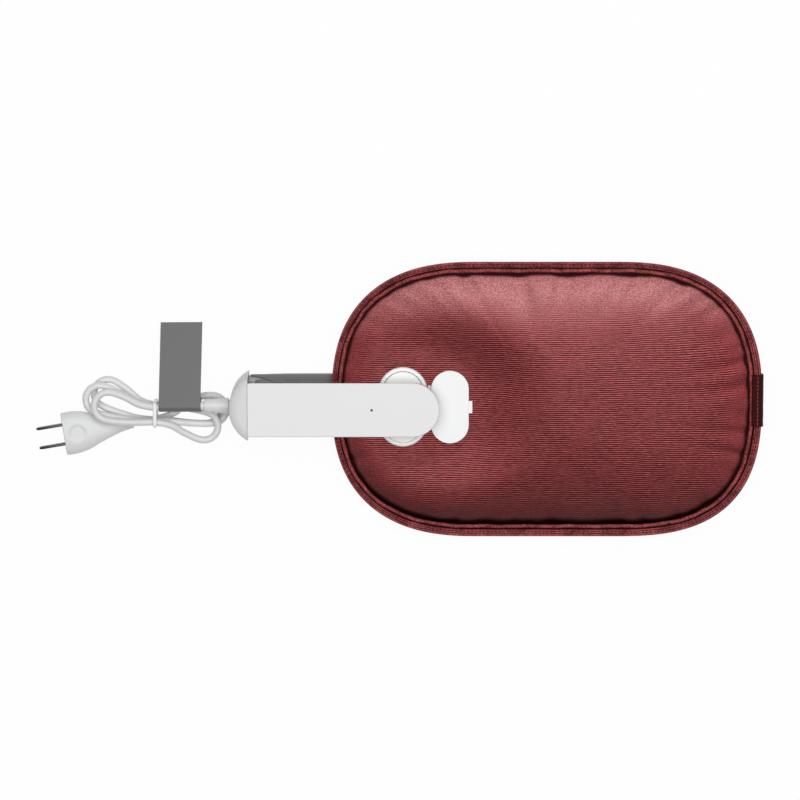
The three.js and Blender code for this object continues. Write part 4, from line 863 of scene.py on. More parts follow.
cup_outside = (cup_width + 2 * cup_wall, cup_length + 2 * cup_wall)
rows = [port_row(*cup_outside, cup_bottom), port_row(*cup_outside, flange_bottom)]
rows.append(port_row(port_width, port_length, flange_bottom + 0.2, 0.3))
rows.append(port_row(port_width, port_length, flange_bottom + 0.6))
for inset, rise in rounded(1.1):
    rows.append(port_row(port_width, port_length, flange_top - 1.1 + rise, inset))
lip = (port_width - recess_width) / 2
for inset, rise in reversed(rounded(0.5)):
    rows.append(port_row(port_width, port_length, flange_top - 0.5 + rise, lip - inset))
rows.append(port_row(recess_width, recess_length, flange_top - recess_depth + 0.3))
rows.append(port_row(recess_width, recess_length, flange_top - recess_depth, 0.3))
rows.append(port_row(cup_width, cup_length, flange_top - recess_depth, -0.3))
rows.append(port_row(cup_width, cup_length, flange_top - recess_depth - 0.3))
rows.append(port_row(cup_width, cup_length, cup_bottom + cup_wall))
port_shell = stack("port_flange", rows)
bright_white = moulded_material("bright_white_moulding", (0.87, 0.885, 0.875), 0.26, 0.0005, 0.000006, 0.02)
fit_out(port_shell, bright_white)
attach(port_shell, base)
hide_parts("port_body")


# Lid: a glossy white plate, round at both ends, moulded with a sealing rim beneath and a small pull tab.
# It lies open on its strap, on the side away from the clip.
def joint_mm(name):
    """A joint's axis in the clip's side view, in millimetres."""
    joint = next(j for j in frame["joints"] if j["name"] == name)
    return joint["pos_m"][0] / mm, joint["pos_m"][2] / mm


hinge_x, hinge_z = joint_mm("lid_hinge")
lid_width, lid_length, lid_plate, lid_rim = 24.5, 47.5, 1.8, 1.4
tab_reach, tab_width = 2.3, 8
lid_edge = 0.9
lid_rise = box_mm(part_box("port_lid"))[1][2] - hinge_z
plate_slope = (lid_rise - lid_plate / 2) / (lid_edge + lid_width)
tab_slope = (lid_rise - lid_plate / 4) / (lid_edge + lid_width + tab_reach)
slope = math.asin(min(plate_slope, tab_slope))


def lid_row(inset, z, reach=tab_reach):
    """A ring of the lid in the lid's own plane, with its pull tab or, at no reach, without."""
    half = lid_width / 2 - inset
    straight = lid_length / 2 - lid_width / 2
    row = []
    for side in (1, -1):
        for turn in spaced(0, math.pi, 40):
            row.append(Vector((side * half * math.cos(turn), side * (half * math.sin(turn) + straight), z)))
    tab = tab_width / 2 - inset
    for x, y in ((half, -tab), (half + reach, -tab), (half + reach, tab), (half, tab)):
        row.append(Vector((x, y, z)))
    return row


rim_out, rim_in, rim_round = 1.6, 3.0, 0.2
rim_steps = [(rim_in, 0), (rim_in, lid_rim - rim_round), (rim_in - rim_round, lid_rim)]
rim_steps += [(rim_out + rim_round, lid_rim), (rim_out, lid_rim - rim_round), (rim_out, 0)]
rows = [lid_row(inset, -lid_plate / 2 - drop, 0) for inset, drop in rim_steps]
rows += [lid_row(0.25, -lid_plate / 2), lid_row(0, 0.25 - lid_plate / 2)]
rows += [lid_row(0, lid_plate / 4 - 0.15), lid_row(0.15, lid_plate / 4), lid_row(0, lid_plate / 4, 0)]
for inset, rise in rounded(0.4)[1:]:
    rows.append(lid_row(inset, lid_plate / 2 - 0.4 + rise, 0))
lid = stack("port_lid_plate", rows)


for vertex in lid.data.vertices:
    x = vertex.co.x + lid_edge + lid_width / 2
    z = vertex.co.z
    vertex.co.x = hinge_x + x * math.cos(slope) - z * math.sin(slope)
    vertex.co.z = hinge_z + x * math.sin(slope) + z * math.cos(slope)
    vertex.co.y += port_y
fit_out(lid, bright_white)
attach(lid, "lid")
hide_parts("port_lid")

# The strap: one thin white web beside the port's flange, with a round bead along its edge that the lid
# turns on
bead = 0.6
strap_half = 14
strap_start = box_mm(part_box("lid_strap"))[0][0]
strap_section = []
for turn in spaced(-math.pi / 2, math.pi, 8):
    strap_section.append((hinge_x + bead * math.cos(turn), hinge_z + bead * math.sin(turn)))
for x, z in ((0.8, 0.4), (0.5, 0.3), (0.2, 0.5), (0.0, bead), (0.0, -bead)):
    strap_section.append((strap_start + x, hinge_z + z))
rows = []
for y, shrink in ((-strap_half, 0.09), (0.3 - strap_half, 0), (strap_half - 0.3, 0), (strap_half, 0.09)):
    rows.append([Vector((x - math.copysign(shrink, x - hinge_x), port_y + y, z)) for x, z in strap_section])
strap = stack("lid_strap_hinge", rows)
to_metres(strap)
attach(strap, base)
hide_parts("lid_strap")
dress(strap, bright_white)


# Clip, upper arm: two moulded white shells, screwed together and split along the side, that run to a
# round nose over the port. The lower shell carries the connector, and a pin-sized light pipe shows
# through the upper one.
gap = 0.3
back_gap = 0.4
pivot_rise = 4.5
cap_low, cap_high, (_, clip_y, _) = box_mm(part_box("end_cap"))
clip_x = cap_high[0]
top_low, top_high, _ = box_mm(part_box("arm_top_shell"))
arm_half = (top_high[1] - top_low[1]) / 2
arm_tip = top_high[0]
arm_back = clip_x + back_gap
arm_top = top_high[2]
arm_split = top_low[2] - gap
pivot_x, pivot_z = joint_mm("jaw_hinge")
arm_bottom = pivot_z - pivot_rise
lean = math.tan(math.radians(15))
arm_draft = 0.14
arm_swell = 0.45
arm_wall = 1.8
arm_edge = 0.8


def arm_row(inset, z, start=None, tip=None, half=None, waist=0.0):
    """A ring of an arm: round nose, square back, with its back leaning forward above the hinge.
    The lower arm's sides draw in by a waist towards the back."""
    half = (arm_half if half is None else half) - inset
    tip = (arm_tip if tip is None else tip) - inset
    start = arm_back if start is None else start
    back = start + inset + max(0, z - pivot_z) * lean
    middle = tip - half
    nose = []
    for turn in spaced(-math.pi / 2, math.pi, 48):
        nose.append(Vector((middle + half * math.cos(turn), clip_y + half * math.sin(turn), z)))
    flank = []
    for share in (0.66, 0.33, 0.24, 0.16, 0.09, 0.02):
        drawn = waist * max(0, 1 - share / 0.33) ** 2
        flank.append(Vector((back + (middle - back) * share, clip_y + half - drawn, z)))
    corner = 0.25 + waist
    flank.append(Vector((back, clip_y + half - corner, z)))
    return nose + flank + [Vector((p.x, 2 * clip_y - p.y, z)) for p in reversed(flank)]


def drafted_row(inset, z, start=None):
    """A ring of the upper arm, whose sides draw in a little towards its underside."""
    return arm_row(inset, z, start, None, arm_half + arm_swell - (arm_top - z) * arm_draft)


lip_low = cap_high[2] + gap
rows = [drafted_row(4.0, arm_top - arm_wall), drafted_row(arm_wall, arm_top - arm_wall)]
rows += [drafted_row(arm_wall, arm_split + gap), drafted_row(0.25, arm_split + gap)]
rows += [drafted_row(0, arm_split + gap + 0.25), drafted_row(0, lip_low)]
for inset, rise in rounded(arm_edge, 6):
    z = max(arm_top - arm_edge + rise, lip_low)
    rows.append(drafted_row(inset, z, clip_x + 0.1 - inset - (z - pivot_z) * lean))
upper_shell = stack("upper_arm_top", rows)


def cylinder(name, radius, low, high, x, y):
    """A round hole or rod that stands from low to high."""
    ring = [(x + radius * math.cos(turn), y + radius * math.sin(turn)) for turn in turns(32)]
    return stack(name, [[Vector((*point, z)) for point in ring] for z in (low, high)])


def apply_modifiers(piece):
    graph = bpy.context.evaluated_depsgraph_get()
    mesh = bpy.data.meshes.new_from_object(piece.evaluated_get(graph))
    old = piece.data
    piece.modifiers.clear()
    piece.data = mesh
    bpy.data.meshes.remove(old)


def carve(piece, *cutters, operation="DIFFERENCE"):
    """Takes each cutter out of the piece, or joins it on, and uses it up."""
    for cutter in cutters:
        modifier = piece.modifiers.new("carve", "BOOLEAN")
        modifier.operation = operation
        modifier.solver = "EXACT"
        modifier.object = cutter
        bpy.context.view_layer.update()
        apply_modifiers(piece)
        bpy.data.objects.remove(cutter)
    piece.data.shade_smooth()
    piece.data.set_sharp_from_angle(angle=math.radians(35))


light_hole_radius = 0.85
light_x = box_mm(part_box("light_pipe"))[2][0]
carve(upper_shell, cylinder("light_hole", light_hole_radius, arm_split, arm_top + 1, light_x, clip_y))
satin_white = moulded_material("satin_white_moulding", (0.79, 0.795, 0.79), 0.42, 0.00045, 0.000016, 0.02)
fit_out(upper_shell, satin_white)
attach(upper_shell, "jaw")
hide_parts("arm_top_shell")

nose_run = 113.85
nose_start = clip_x + nose_run
nose_slope = (arm_split + gap - arm_bottom) / (arm_tip - nose_start)


def nosed(row):
    """The lower shell's nose slopes up from behind the connector."""
    for p in row:
        if p.x > nose_start:
            p.z = max(p.z, min(arm_split - 0.25, arm_bottom + (p.x - nose_start) * nose_slope))
    return row


rows = [drafted_row(4.0, arm_bottom + arm_wall), drafted_row(2.2, arm_bottom + arm_wall)]
rows += [drafted_row(arm_wall, arm_split), drafted_row(0.25, arm_split), drafted_row(0, arm_split - 0.25)]
for inset, rise in rounded(1.0):
    rows.append(nosed(drafted_row(inset, arm_bottom + 1.0 - rise)))
lower_shell = stack("upper_arm_base", rows)


def cross_cylinder(name, radius, half):
    """A round rod or hole along the hinge's axis."""
    ring = [(pivot_x + radius * math.cos(turn), pivot_z + radius * math.sin(turn)) for turn in turns(40)]
    return stack(name, [[Vector((x, clip_y + y, z)) for x, z in ring] for y in (-half, half)])


def brick(name, low, high):
    plan = ((low[0], low[1]), (high[0], low[1]), (high[0], high[1]), (low[0], high[1]))
    return stack(name, [[Vector((x, y, z)) for x, y in plan] for z in (low[2], high[2])])


knuckle_radius, knuckle_outer, knuckle_inner = 4.6, 8, 4.3
neck_height = 3.6
bore_radius, bore_half = 1.8, 20
neck_low = (pivot_x, clip_y - knuckle_outer, pivot_z - neck_height)
neck_block = brick("neck", neck_low, (arm_back + 0.9, clip_y + knuckle_outer, arm_split - gap))
carve(neck_block, cross_cylinder("barrel", knuckle_radius, knuckle_outer), operation="UNION")
room_low = (pivot_x - 6, clip_y - knuckle_inner, pivot_z - 9)
coil_room = brick("coil_room", room_low, (arm_back - 0.1, clip_y + knuckle_inner, arm_top))
carve(neck_block, coil_room, cross_cylinder("pin_bore", bore_radius, bore_half))
carve(lower_shell, neck_block, operation="UNION")
fit_out(lower_shell, satin_white)
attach(lower_shell, "jaw")
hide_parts("arm_bottom_shell")

# The connector: one bright white moulding, screwed to the lower shell. Its head is a wide stadium that
# fills the port's recess, over a block with two sockets that goes into the cup.
connector_low, connector_high, connector_middle = box_mm(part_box("connector_body"))
connector_x = connector_middle[0]
head_top = connector_high[2]
head_height = 3.5
head_low = head_top - head_height
block_low = connector_low[2]
head_plan, block_plan = (25.5, 46.5), (16.8, 34.8)
socket_radius, socket_roof, socket_aside = 4.0, 2.05, 9


def head_row(plan, z, inset=0.0):
    return stadium(*plan, z, inset, connector_x, clip_y)


rows = [head_row(block_plan, block_low, 0.4), head_row(block_plan, block_low + 0.4)]
rows += [head_row(block_plan, head_low), head_row(head_plan, head_low, 0.3)]
rows.append(head_row(head_plan, head_low + 0.3))
for inset, rise in rounded(0.5):
    rows.append(head_row(head_plan, head_top - 0.5 + rise, inset))
connector = stack("connector_head", rows)
for side in (1, -1):
    socket_y = clip_y + side * socket_aside
    socket_top = head_low + socket_roof
    carve(connector, cylinder("socket", socket_radius, block_low - 1, socket_top, connector_x, socket_y))
fit_out(connector, bright_white)
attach(connector, "jaw")
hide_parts("connector_body")


# Clip, end cap: a hollow white moulding, D-shaped from above, with a crowned top. It closes the hinge end
# and holds the cable's gland, and two screws fix it to the lower arm's tongue.
cap_reach = cap_high[0] - cap_low[0]
cap_half = (cap_high[1] - cap_low[1]) / 2
cap_foot, cap_top = cap_low[2], cap_high[2]
cap_edge = 0.9
cap_radius = (cap_half**2 + cap_reach**2) / (2 * cap_reach)
cap_wall = 1.8
cap_round = 2.6
cap_crown = 6
cap_slope = 2.0


def cap_row(inset, z, mouth=0.0):
    """A ring of the D: a shallow round wall behind, and a straight mouth."""
    radius = cap_radius - inset
    middle = clip_x - cap_reach + cap_radius
    half_turn = math.acos((cap_radius - cap_reach) / radius)
    row = []
    for turn in spaced(math.pi - half_turn, 2 * half_turn, 64):
        row.append(Vector((middle + radius * math.cos(turn), clip_y + radius * math.sin(turn), z)))
    half = radius * math.sin(half_turn)
    if mouth:
        row.append(Vector((clip_x + mouth, clip_y - half, z)))
        row.append(Vector((clip_x + mouth, clip_y + half, z)))
    return row


rows = [cap_row(inset, cap_foot + cap_edge - rise) for inset, rise in reversed(rounded(cap_edge))]
for inset, rise in rounded(1, 9):
    row = cap_row(cap_crown * inset, cap_top - cap_round * (1 - rise))
    for p in row:
        p.z -= cap_slope * (clip_x - p.x) / cap_reach
    rows.append(row)
end_cap = stack("end_cap_shell", rows)
room_levels = (cap_foot + cap_wall, cap_top - cap_slope - cap_wall)
carve(end_cap, stack("room", [cap_row(cap_wall, z, 1.0) for z in room_levels]))
# The cap is the same satin white plastic as the arms, painted darker: a painted shade for its top, which slopes
# away from the light.
shaded_cap_white = moulded_material("satin_white_cap_painted_shade", (0.7, 0.705, 0.7), 0.42, 0.00045, 0.000016, 0.02)
fit_out(end_cap, shaded_cap_white)
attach(end_cap, base)
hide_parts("end_cap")


# Clip, lower arm: a moulded grey body whose web curves up to the cap and narrows towards the bag, a flat
# white cover screwed on under it, and a ribbed grey pad.
body_corner, body_far_corner, _ = box_mm(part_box("lower_arm_body"))
body_low = body_corner[2]
lower_half = (body_far_corner[1] - body_corner[1]) / 2
lower_tip = body_far_corner[0]
body_high = pad_low[2] - gap
web_top = arm_bottom - 0.6
web_reach = 23
web_half = 17.2
web_thick = 4
lower_waist = 1.2
lower_back = clip_x + 0.1
web_foot = arm_back + web_reach - 0.6


def across_clip(name, outline, low, high):
    """A block with its outline in the clip's side view."""
    return stack(name, [[Vector((x, clip_y + y, z)) for x, z in outline] for y in (low, high)])


profile = [(lower_back, body_low + 1), (web_foot, body_low + 1), (web_foot, body_high)]
a, b, c = (web_foot, body_high), (arm_back + web_thick, body_high), (arm_back + web_thick, web_top)
for t in spaced(0, 1, 24)[1:]:
    profile.append(tuple((1 - t) ** 2 * p + 2 * t * (1 - t) * q + t * t * r for p, q, r in zip(a, b, c)))
profile.append((lower_back, web_top))
web = across_clip("web", profile, -lower_half - 1, lower_half + 1)


def web_plan(margin, low, high):
    """The web's plan, a half ellipse, as a block with a margin round it."""
    half = web_half + margin
    plan = [(arm_back - 1, clip_y + half), (arm_back - 1, clip_y - half)]
    for turn in spaced(-math.pi / 2, math.pi, 48):
        plan.append((arm_back + (web_reach + margin) * math.cos(turn), clip_y + half * math.sin(turn)))
    return stack("web_plan", [[Vector((x, y, z)) for x, y in plan] for z in (low, high)])


def lower_row(inset, z):
    return arm_row(inset, z, lower_back, lower_tip, lower_half, lower_waist)


carve(web, web_plan(0, body_low, pivot_z), operation="INTERSECT")
side_body = stack("lower_arm_shell", [lower_row(0, z) for z in (body_low, body_high)])
carve(side_body, web, operation="UNION")

# Its two ears hold the hinge's pin, and a tongue under the cap takes the cap's screws
ear_radius, ear_inner, ear_outer = 3.1, 8.6, 11.6
ear_x = clip_x + 2.4
ear = [(ear_x, body_high), (ear_x, web_top - 1), (clip_x, web_top)]
for turn in spaced(0, math.pi, 16):
    ear.append((pivot_x + ear_radius * math.cos(turn), pivot_z + ear_radius * math.sin(turn)))
ear += [(pivot_x - ear_radius, body_high - 1), (ear_x, body_high - 1)]
carve(side_body, across_clip("ear", ear, ear_inner, ear_outer), operation="UNION")
carve(side_body, across_clip("ear", ear, -ear_outer, -ear_inner), operation="UNION")
tongue_back, tongue_half = 7.5, 12
tongue_low = (clip_x - tongue_back, clip_y - tongue_half, body_low)
tongue = brick("tongue", tongue_low, (arm_back + 1, clip_y + tongue_half, body_high))
carve(side_body, tongue, operation="UNION")
switch_low, switch_high, _ = box_mm(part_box("safety_switch"))
room_high = (switch_high[0] + gap, switch_high[1] + gap, web_top + 1)
switch_room = brick("switch_room", [v - gap for v in switch_low], room_high)
carve(side_body, cross_cylinder("pin_bore", bore_radius, bore_half), switch_room)
bevel = side_body.modifiers.new("edges", "BEVEL")
bevel.width = 0.5
bevel.segments = 3
bevel.limit_method = "ANGLE"
bevel.angle_limit = math.radians(50)
bpy.context.view_layer.update()
apply_modifiers(side_body)
side_body.data.shade_smooth()
side_body.data.set_sharp_from_angle(angle=math.radians(35))
mid_grey = moulded_material("mid_grey_moulding", (0.34, 0.34, 0.34), 0.45, 0.00045, 0.000016, 0.03)
fit_out(side_body, mid_grey)
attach(side_body, base)
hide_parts("lower_arm_body")

cover_edge = 0.7
sink_radius, sink_depth, screw_hole_radius = 2.6, 1.7, 1.5
cover_corner, cover_far_corner, _ = box_mm(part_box("lower_arm_cover"))
cover_low, cover_high = cover_corner[2], cover_far_corner[2]
rows = [lower_row(inset, cover_low + cover_edge - rise) for inset, rise in reversed(rounded(cover_edge))]
rows += [lower_row(0, cover_high - 0.2), lower_row(0.2, cover_high)]
lower_cover = stack("lower_arm_underside", rows)
for name in ("lower_screw_1", "lower_screw_2"):
    x, y, _ = box_mm(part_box(name))[2]
    carve(lower_cover, cylinder("sink", sink_radius, cover_low - 1, cover_low + sink_depth, x, y))
    carve(lower_cover, cylinder("hole", screw_hole_radius, cover_low, cover_high + 1, x, y))
fit_out(lower_cover, satin_white)
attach(lower_cover, base)
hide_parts("lower_arm_cover")

# The pad: soft grey rubber, moulded with fine cross ribs, that lies on the body round the foot of its
# web and grips the cloth
pad_foot, pad_top = pad_low[2], pad_high[2]
pad_half = pad_width / 2 - 0.4
groove_pitch, groove_half, groove_depth, groove_margin = 2.6, 0.45, 0.5, 2.2
rows = []
for inset, z in ((0.3, pad_foot), (0, pad_foot + 0.4), (0, pad_top - 0.6), (0.6, pad_top)):
    rows.append(arm_row(inset, z, pad_low[0], pad_tip, pad_half))
pad = stack("grip_pad_ribbed", rows)
middle = pad_tip - pad_half
x = arm_back + web_reach + 2
grooves = [web_plan(gap, pad_foot - 1, pad_top + 1)]
while x < pad_tip - 4:
    half = math.sqrt(max(pad_half**2 - max(x - middle, 0) ** 2, 16)) - groove_margin
    groove_low = (x - groove_half, clip_y - half, pad_top - groove_depth)
    grooves.append(brick("groove", groove_low, (x + groove_half, clip_y + half, pad_top + 1)))
    x += groove_pitch
carve(pad, *grooves)
to_metres(pad)
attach(pad, base)
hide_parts("grip_pad")
soft_grey = moulded_material("soft_grey_rubber", (0.2, 0.2, 0.2), 0.62, 0.0006, 0.00003, 0.06)
dress(pad, soft_grey)


# Gland: a smooth tapered strain relief in the cable's own soft white plastic, with a short collar at its
# tip. A flange inside the cap's round wall holds it.
_, gland_y, gland_z = gland_middle
flange_steps = ((0, 2.6), (0, 6.1), (-0.3, 6.4), (-1.1, 6.4), (-1.4, 6.0), (-1.4, 4.0))
root_steps = ((-0.5, 4.0), (-0.6, 4.9), (-0.9, 5.15))
tip_steps = ((3.0, 4.15), (2.6, 4.05), (2.4, 3.8), (2.4, 3.1), (2.2, 3.0), (0.3, 3.0), (0, 2.75))
gland_profile = stepped(gland_high[0], 0, flange_steps)
gland_profile += stepped(cap_low[0], 0, root_steps) + stepped(gland_low[0], 0, tip_steps)
rows = []
for x, radius in gland_profile:
    ring = [(gland_y + radius * math.cos(turn), gland_z + radius * math.sin(turn)) for turn in turns(48)]
    rows.append([Vector((x, y, z)) for y, z in ring])
gland = stack("cable_gland", rows, 25)
to_metres(gland)
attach(gland, base)
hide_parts("cord_gland")
dress(gland, sheath)


# Label: a plain grey film, folded round the lead and pressed flat on itself level with the lead's top,
# that droops to one side
lead_from = Vector((4.3, waist, lead_height))
lead_to = gland_end
run = lead_to - lead_from
run.y /= 3
droop = Quaternion((1, 0, 0), math.radians(-17))
film_way = Vector((1, 0, 0)).rotation_difference(run.normalized()) @ droop
film_place = tie_place + (lead_from + lead_to) / 2 - Vector((0.45, 0, 0))
film_half = 13.75
film_height = 55
film_wrap = 2.9
film_thickness = 0.6
film_top = film_wrap + film_thickness
wrap_start, wrap_turn = 90, 235
wrap_end = wrap_start + wrap_turn
film_turns = [math.radians(turn) for turn in spaced(wrap_start, wrap_turn, 30)]
open_turns = [math.radians(turn) for turn in spaced(wrap_end, 360 - wrap_turn, 12)[1:-1]]
wrap_outer = [(film_top * math.cos(turn), film_top * math.sin(turn)) for turn in film_turns]
wrap_inner = [(film_wrap * math.cos(turn), film_wrap * math.sin(turn)) for turn in film_turns + open_turns]
sheet_over = [(9, film_top), (4, film_top)]
sheet_under = [(4.4, -0.6), (6.2, film_top - 1.8), (9, film_top - film_thickness)]
sheet_end = [(film_height - 0.1, film_top - film_thickness), (film_height, film_top - film_thickness + 0.1)]
sheet_end += [(film_height, film_top - 0.1), (film_height - 0.1, film_top)]
film_section = sheet_over + wrap_outer + sheet_under + sheet_end
film_steps = (-film_half, -film_half + 0.1, film_half - 0.1, film_half)
film_points = []
for x in film_steps:
    film_points += [film_way @ Vector((x, y, z)) + film_place for y, z in film_section]
inner_start = len(film_points)
for x in (film_steps[0], film_steps[-1]):
    film_points += [film_way @ Vector((x, y, z)) + film_place for y, z in wrap_inner]
count = len(film_section)
bore = len(wrap_inner)
last = len(film_turns) - 1
film_faces = ring_faces(len(film_steps), count)
for k in range(bore):
    a, b = inner_start + k, inner_start + (k + 1) % bore
    film_faces.append((a, b, b + bore, a + bore))
first = len(sheet_over)
for outer, inner in ((0, inner_start), ((len(film_steps) - 1) * count, inner_start + bore)):
    for k in range(last):
        film_faces.append((outer + first + k, outer + first + k + 1, inner + k + 1, inner + k))
    rest = [outer + k for k in [*range(first + last, count), *range(first + 1)]]
    film_faces.append((*rest, inner, *(inner + k for k in range(bore - 1, last - 1, -1))))
label = mesh_object("cable_label", film_points, film_faces, 30)
to_metres(label)
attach(label, base)
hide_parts("cord_label")
flag_film = moulded_material("label_film", (0.145, 0.145, 0.145), 0.45, 0.0006, 0.000008, 0.06)
dress(label, flag_film)

# Tie: a soft white plastic strap, rounded on its outside, that is drawn round the hank's waist and keeps
# its folds together
tie_half = (tie_high[1] - tie_low[1]) / 2
tie_corner = 2.3
tie_line = []
for y, z, start in ((1, 1, 0.0), (-1, 1, 0.5), (-1, -1, 1.0), (1, -1, 1.5)):
    for turn in spaced(math.pi * start, math.pi / 2, 8):
        out = Vector((0, math.cos(turn), math.sin(turn)))
        level = tie_high[2] if z > 0 else tie_low[2]
        tie_line.append((Vector((0, y * (tie_half - tie_corner), level - z * tie_corner)), out))
tie_section = [(0.4, -0.1), (0.9, 0.1), (1.2, 0.35), (1.2, 0.6)]
tie_section = [(-x, depth) for x, depth in reversed(tie_section)] + tie_section
tie_points = []
for corner, out in tie_line:
    for x, depth in tie_section:
        tie_points.append(tie_place + corner + out * (tie_corner - depth) + Vector((x, 0, 0)))
tie_faces = ring_faces(len(tie_line), len(tie_section), closed=True)
tie = mesh_object("cable_tie", tie_points, tie_faces, 50)
to_metres(tie)
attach(tie, base)
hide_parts("cord_tie")
dress(tie, bright_white)

# Plug: a flat body of soft white plastic, moulded over the cable's end, that narrows to the neck and has
# a thumb hollow on each side. Its two dark blades stand in slots in the end.
plug_width, plug_height, plug_length, plug_neck = 28, 14, 46, 7
plug_side = Vector((-math.sin(plug_heading), math.cos(plug_heading), 0))
plug_up = plug_way.cross(plug_side)
plug_start = tie_place + neck + plug_way * 0.3
plug_shares = [
    (0, 0, 0), (0.17, 0.12, 0.1), (0.35, 0.34, 0.38), (0.52, 0.6, 0.72), (0.68, 0.86, 0.96), (0.82, 0.98, 1),
    (0.94, 1, 0.96), (1, 0.97, 0.9),
]
plug_edge = 0.4
thumb_along, thumb_radius, thumb_depth = 37.2, 6.6, 0.8
blade_aside = 12.7 / 2
blade_length = 17
blade_half_width = 3.15
blade_half_thickness = 0.75
slot_margin = 0.3


def on_plug(along, aside, up):
    return plug_start + plug_way * along + plug_side * aside + plug_up * up


def plug_row(along, wide, thick, inset=0.0):
    half_width = (plug_neck + (plug_width - plug_neck) * wide) / 2 - inset
    half_height = (plug_neck + (plug_height - plug_neck) * thick) / 2 - inset
    power = 2 / (2 + 0.6 * wide)
    row = []
    for turn in turns(144):
        c, s = math.cos(turn), math.sin(turn)
        aside = math.copysign(half_width * abs(c) ** power, c)
        up = math.copysign(half_height * abs(s) ** power, s)
        off = math.hypot(along - thumb_along, aside)
        up -= math.copysign(thumb_depth * (1 - eased(off, thumb_radius - 3.2, thumb_radius)), s)
        row.append(on_plug(along, aside, up))
    return row


rows = []
for station in smooth_line([Vector(share) for share in plug_shares], 14):
    rows.append(plug_row(station.x * (plug_length - plug_edge), station.y, station.z))
for inset, rise in rounded(plug_edge)[1:]:
    rows.append(plug_row(plug_length - plug_edge + rise, *plug_shares[-1][1:], inset))
plug = stack("plug_moulding", rows)
for middle in (blade_aside, -blade_aside):
    half = blade_half_thickness + slot_margin
    up = blade_half_width + slot_margin
    slot = brick("slot", (plug_length - 4.3, middle - half, -up), (plug_length + 1, middle + half, up))
    for vertex in slot.data.vertices:
        vertex.co = on_plug(*vertex.co)
    carve(plug, slot)
to_metres(plug)
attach(plug, base)
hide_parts("plug_body")
dress(plug, sheath)

dark_plating = moulded_material("dark_plating", (0.07, 0.07, 0.072), 0.26, 0.0003, 0.000006, 0.08, 1.0)
for number_of, middle in ((1, blade_aside), (2, -blade_aside)):
    rows = []
    for aside, inset in ((-blade_half_thickness, 0.25), (-0.5, 0), (0.5, 0), (blade_half_thickness, 0.25)):
        half = blade_half_width - inset
        tip = plug_length + blade_length - inset
        outline = [(plug_length - 4, -half), (tip - 2, -half), (tip - 0.6, -half + 0.9), (tip, -half + 2)]
        outline += [(along, -up) for along, up in reversed(outline)]
        rows.append([on_plug(along, middle + aside, up) for along, up in outline])
    blade = stack(f"plug_blade_{number_of}", rows, 50)
    to_metres(blade)
    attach(blade, base)
    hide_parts(f"plug_pin_{number_of}")
    dress(blade, dark_plating)


# Carried-over pieces: the screws, pins, wires, heater, spring, bladder and other inner parts keep their
# solids, and get their finishes by what they are made of.
steel = moulded_material("bright_steel", (0.6, 0.61, 0.62), 0.28, 0.0003, 0.000006, 0.05, 1.0)
contact_brass = moulded_material("contact_brass", (0.62, 0.42, 0.16), 0.25, 0.0003, 0.000006, 0.06, 1.0)
clear_film = moulded_material("bladder_film", (0.62, 0.53, 0.42), 0.35, 0.0008, 0.00002, 0.08)
board_green = moulded_material("board_green", (0.03, 0.15, 0.06), 0.4, 0.0006, 0.00001, 0.1)
live_red = moulded_material("live_sleeve", (0.42, 0.05, 0.03), 0.4)
neutral_blue = moulded_material("neutral_sleeve", (0.03, 0.09, 0.33), 0.4)
amber = moulded_material("amber_moulding", (0.66, 0.24, 0.03), 0.3)
smoked = moulded_material("smoked_pipe", (0.02, 0.02, 0.02), 0.2)
finishes = {
    "ribbed_cloth": velour, "edge_cloth": tape_cloth, "dark_ribbon": satin, "film": clear_film,
    "white_plastic": satin_white, "bright_plastic": bright_white, "grey_plastic": mid_grey,
    "grey_rubber": soft_grey,
    "cord_jacket": sheath, "label_film": flag_film, "bright_steel": steel,
    "dark_nickel": dark_plating, "brass": contact_brass, "board": board_green,
    "live_sleeve": live_red, "neutral_sleeve": neutral_blue, "amber": amber,
}
slot_of = {s["node"]: s["material_slot"] for s in frame["record"]["subparts"]}
for name, node in frame["nodes"].items():
    if not node.hide_render:
        dress(node, finishes[slot_of[name]])
dress(frame["nodes"]["light_pipe"], smoked)


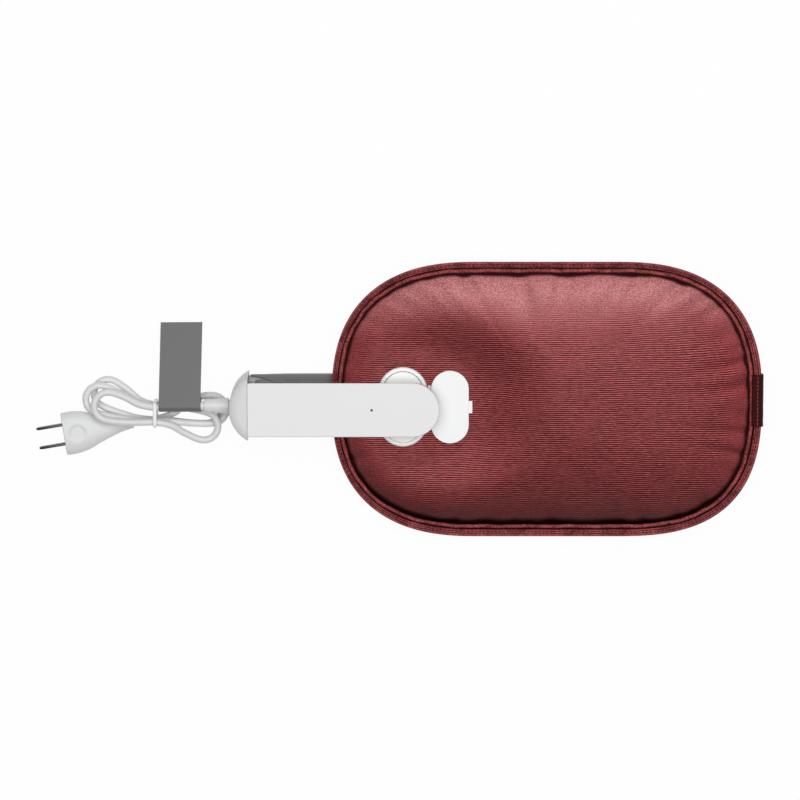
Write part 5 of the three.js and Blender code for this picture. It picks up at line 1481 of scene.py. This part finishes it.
# Studio: a pale floor that the camera sees as white. The cloth is lit low from the label side, to bring out
# its pile, with no shadow of the clip on it, and the mouldings, the lead and the edge softly from above.
floor_half = 3.0
floor_corners = [(x * floor_half, y * floor_half, 0) for x, y in ((-1, -1), (1, -1), (1, 1), (-1, 1))]
floor = mesh_object("floor", floor_corners, [(0, 1, 2, 3)])
floor.location.z = cad_box[0][2] - 0.0005
paper, tree, shader = new_material("studio_paper")
shader.inputs["Base Color"].default_value = (0.93, 0.93, 0.93, 1)
shader.inputs["Roughness"].default_value = 0.9
glow = add_node(tree, "ShaderNodeEmission", {"Color": (1, 1, 1, 1), "Strength": 1.0})
path = add_node(tree, "ShaderNodeLightPath")
direct = number(tree, "MAXIMUM", path.outputs["Is Camera Ray"], path.outputs["Is Glossy Ray"])
seen = number(tree, "MULTIPLY", number(tree, "MAXIMUM", direct, path.outputs["Is Transmission Ray"]), 0.95)
mixed = add_node(tree, "ShaderNodeMixShader", {0: seen, 1: shader.outputs[0], 2: glow.outputs[0]})
link(tree, mixed.outputs[0], tree.nodes["Material Output"].inputs["Surface"])
dress(floor, paper)


def add_lamp(name, place, size, power, target=(-0.05, 0, 0.02)):
    data = bpy.data.lights.new(name, "AREA")
    data.shape = "RECTANGLE"
    data.size, data.size_y = size
    data.energy = power
    lamp = bpy.data.objects.new(name, data)
    lamp.location = place
    lamp.rotation_euler = (Vector(target) - Vector(place)).to_track_quat("-Z", "Y").to_euler()
    bpy.context.scene.collection.objects.link(lamp)
    return lamp


cloth_lamp = add_lamp("cloth_key", (0.2, 1.4, 1.2), (1.5, 0.8), 41)
mouldings_lamp = add_lamp("mouldings_key", (0.0, 0.3, 1.9), (2.2, 1.8), 38)
for lamp, state in ((cloth_lamp, "INCLUDE"), (mouldings_lamp, "EXCLUDE")):
    receivers = bpy.data.collections.new(lamp.name + "_cloth")
    for piece in (cover_top, cover_bottom, hanging_loop, loop_seams):
        receivers.objects.link(piece)
    for entry in receivers.collection_objects:
        entry.light_linking.link_state = state
    lamp.light_linking.receiver_collection = receivers
cloth_lamp.light_linking.blocker_collection = cloth_lamp.light_linking.receiver_collection
world = bpy.data.worlds.new("studio")
world.use_nodes = True
sky_strength = 0.16
sky = world.node_tree.nodes["Background"]
sky.inputs["Color"].default_value = (1, 1, 1, 1)
sky.inputs["Strength"].default_value = sky_strength
bpy.context.scene.world = world
bpy.context.scene.view_settings.view_transform = "Standard"
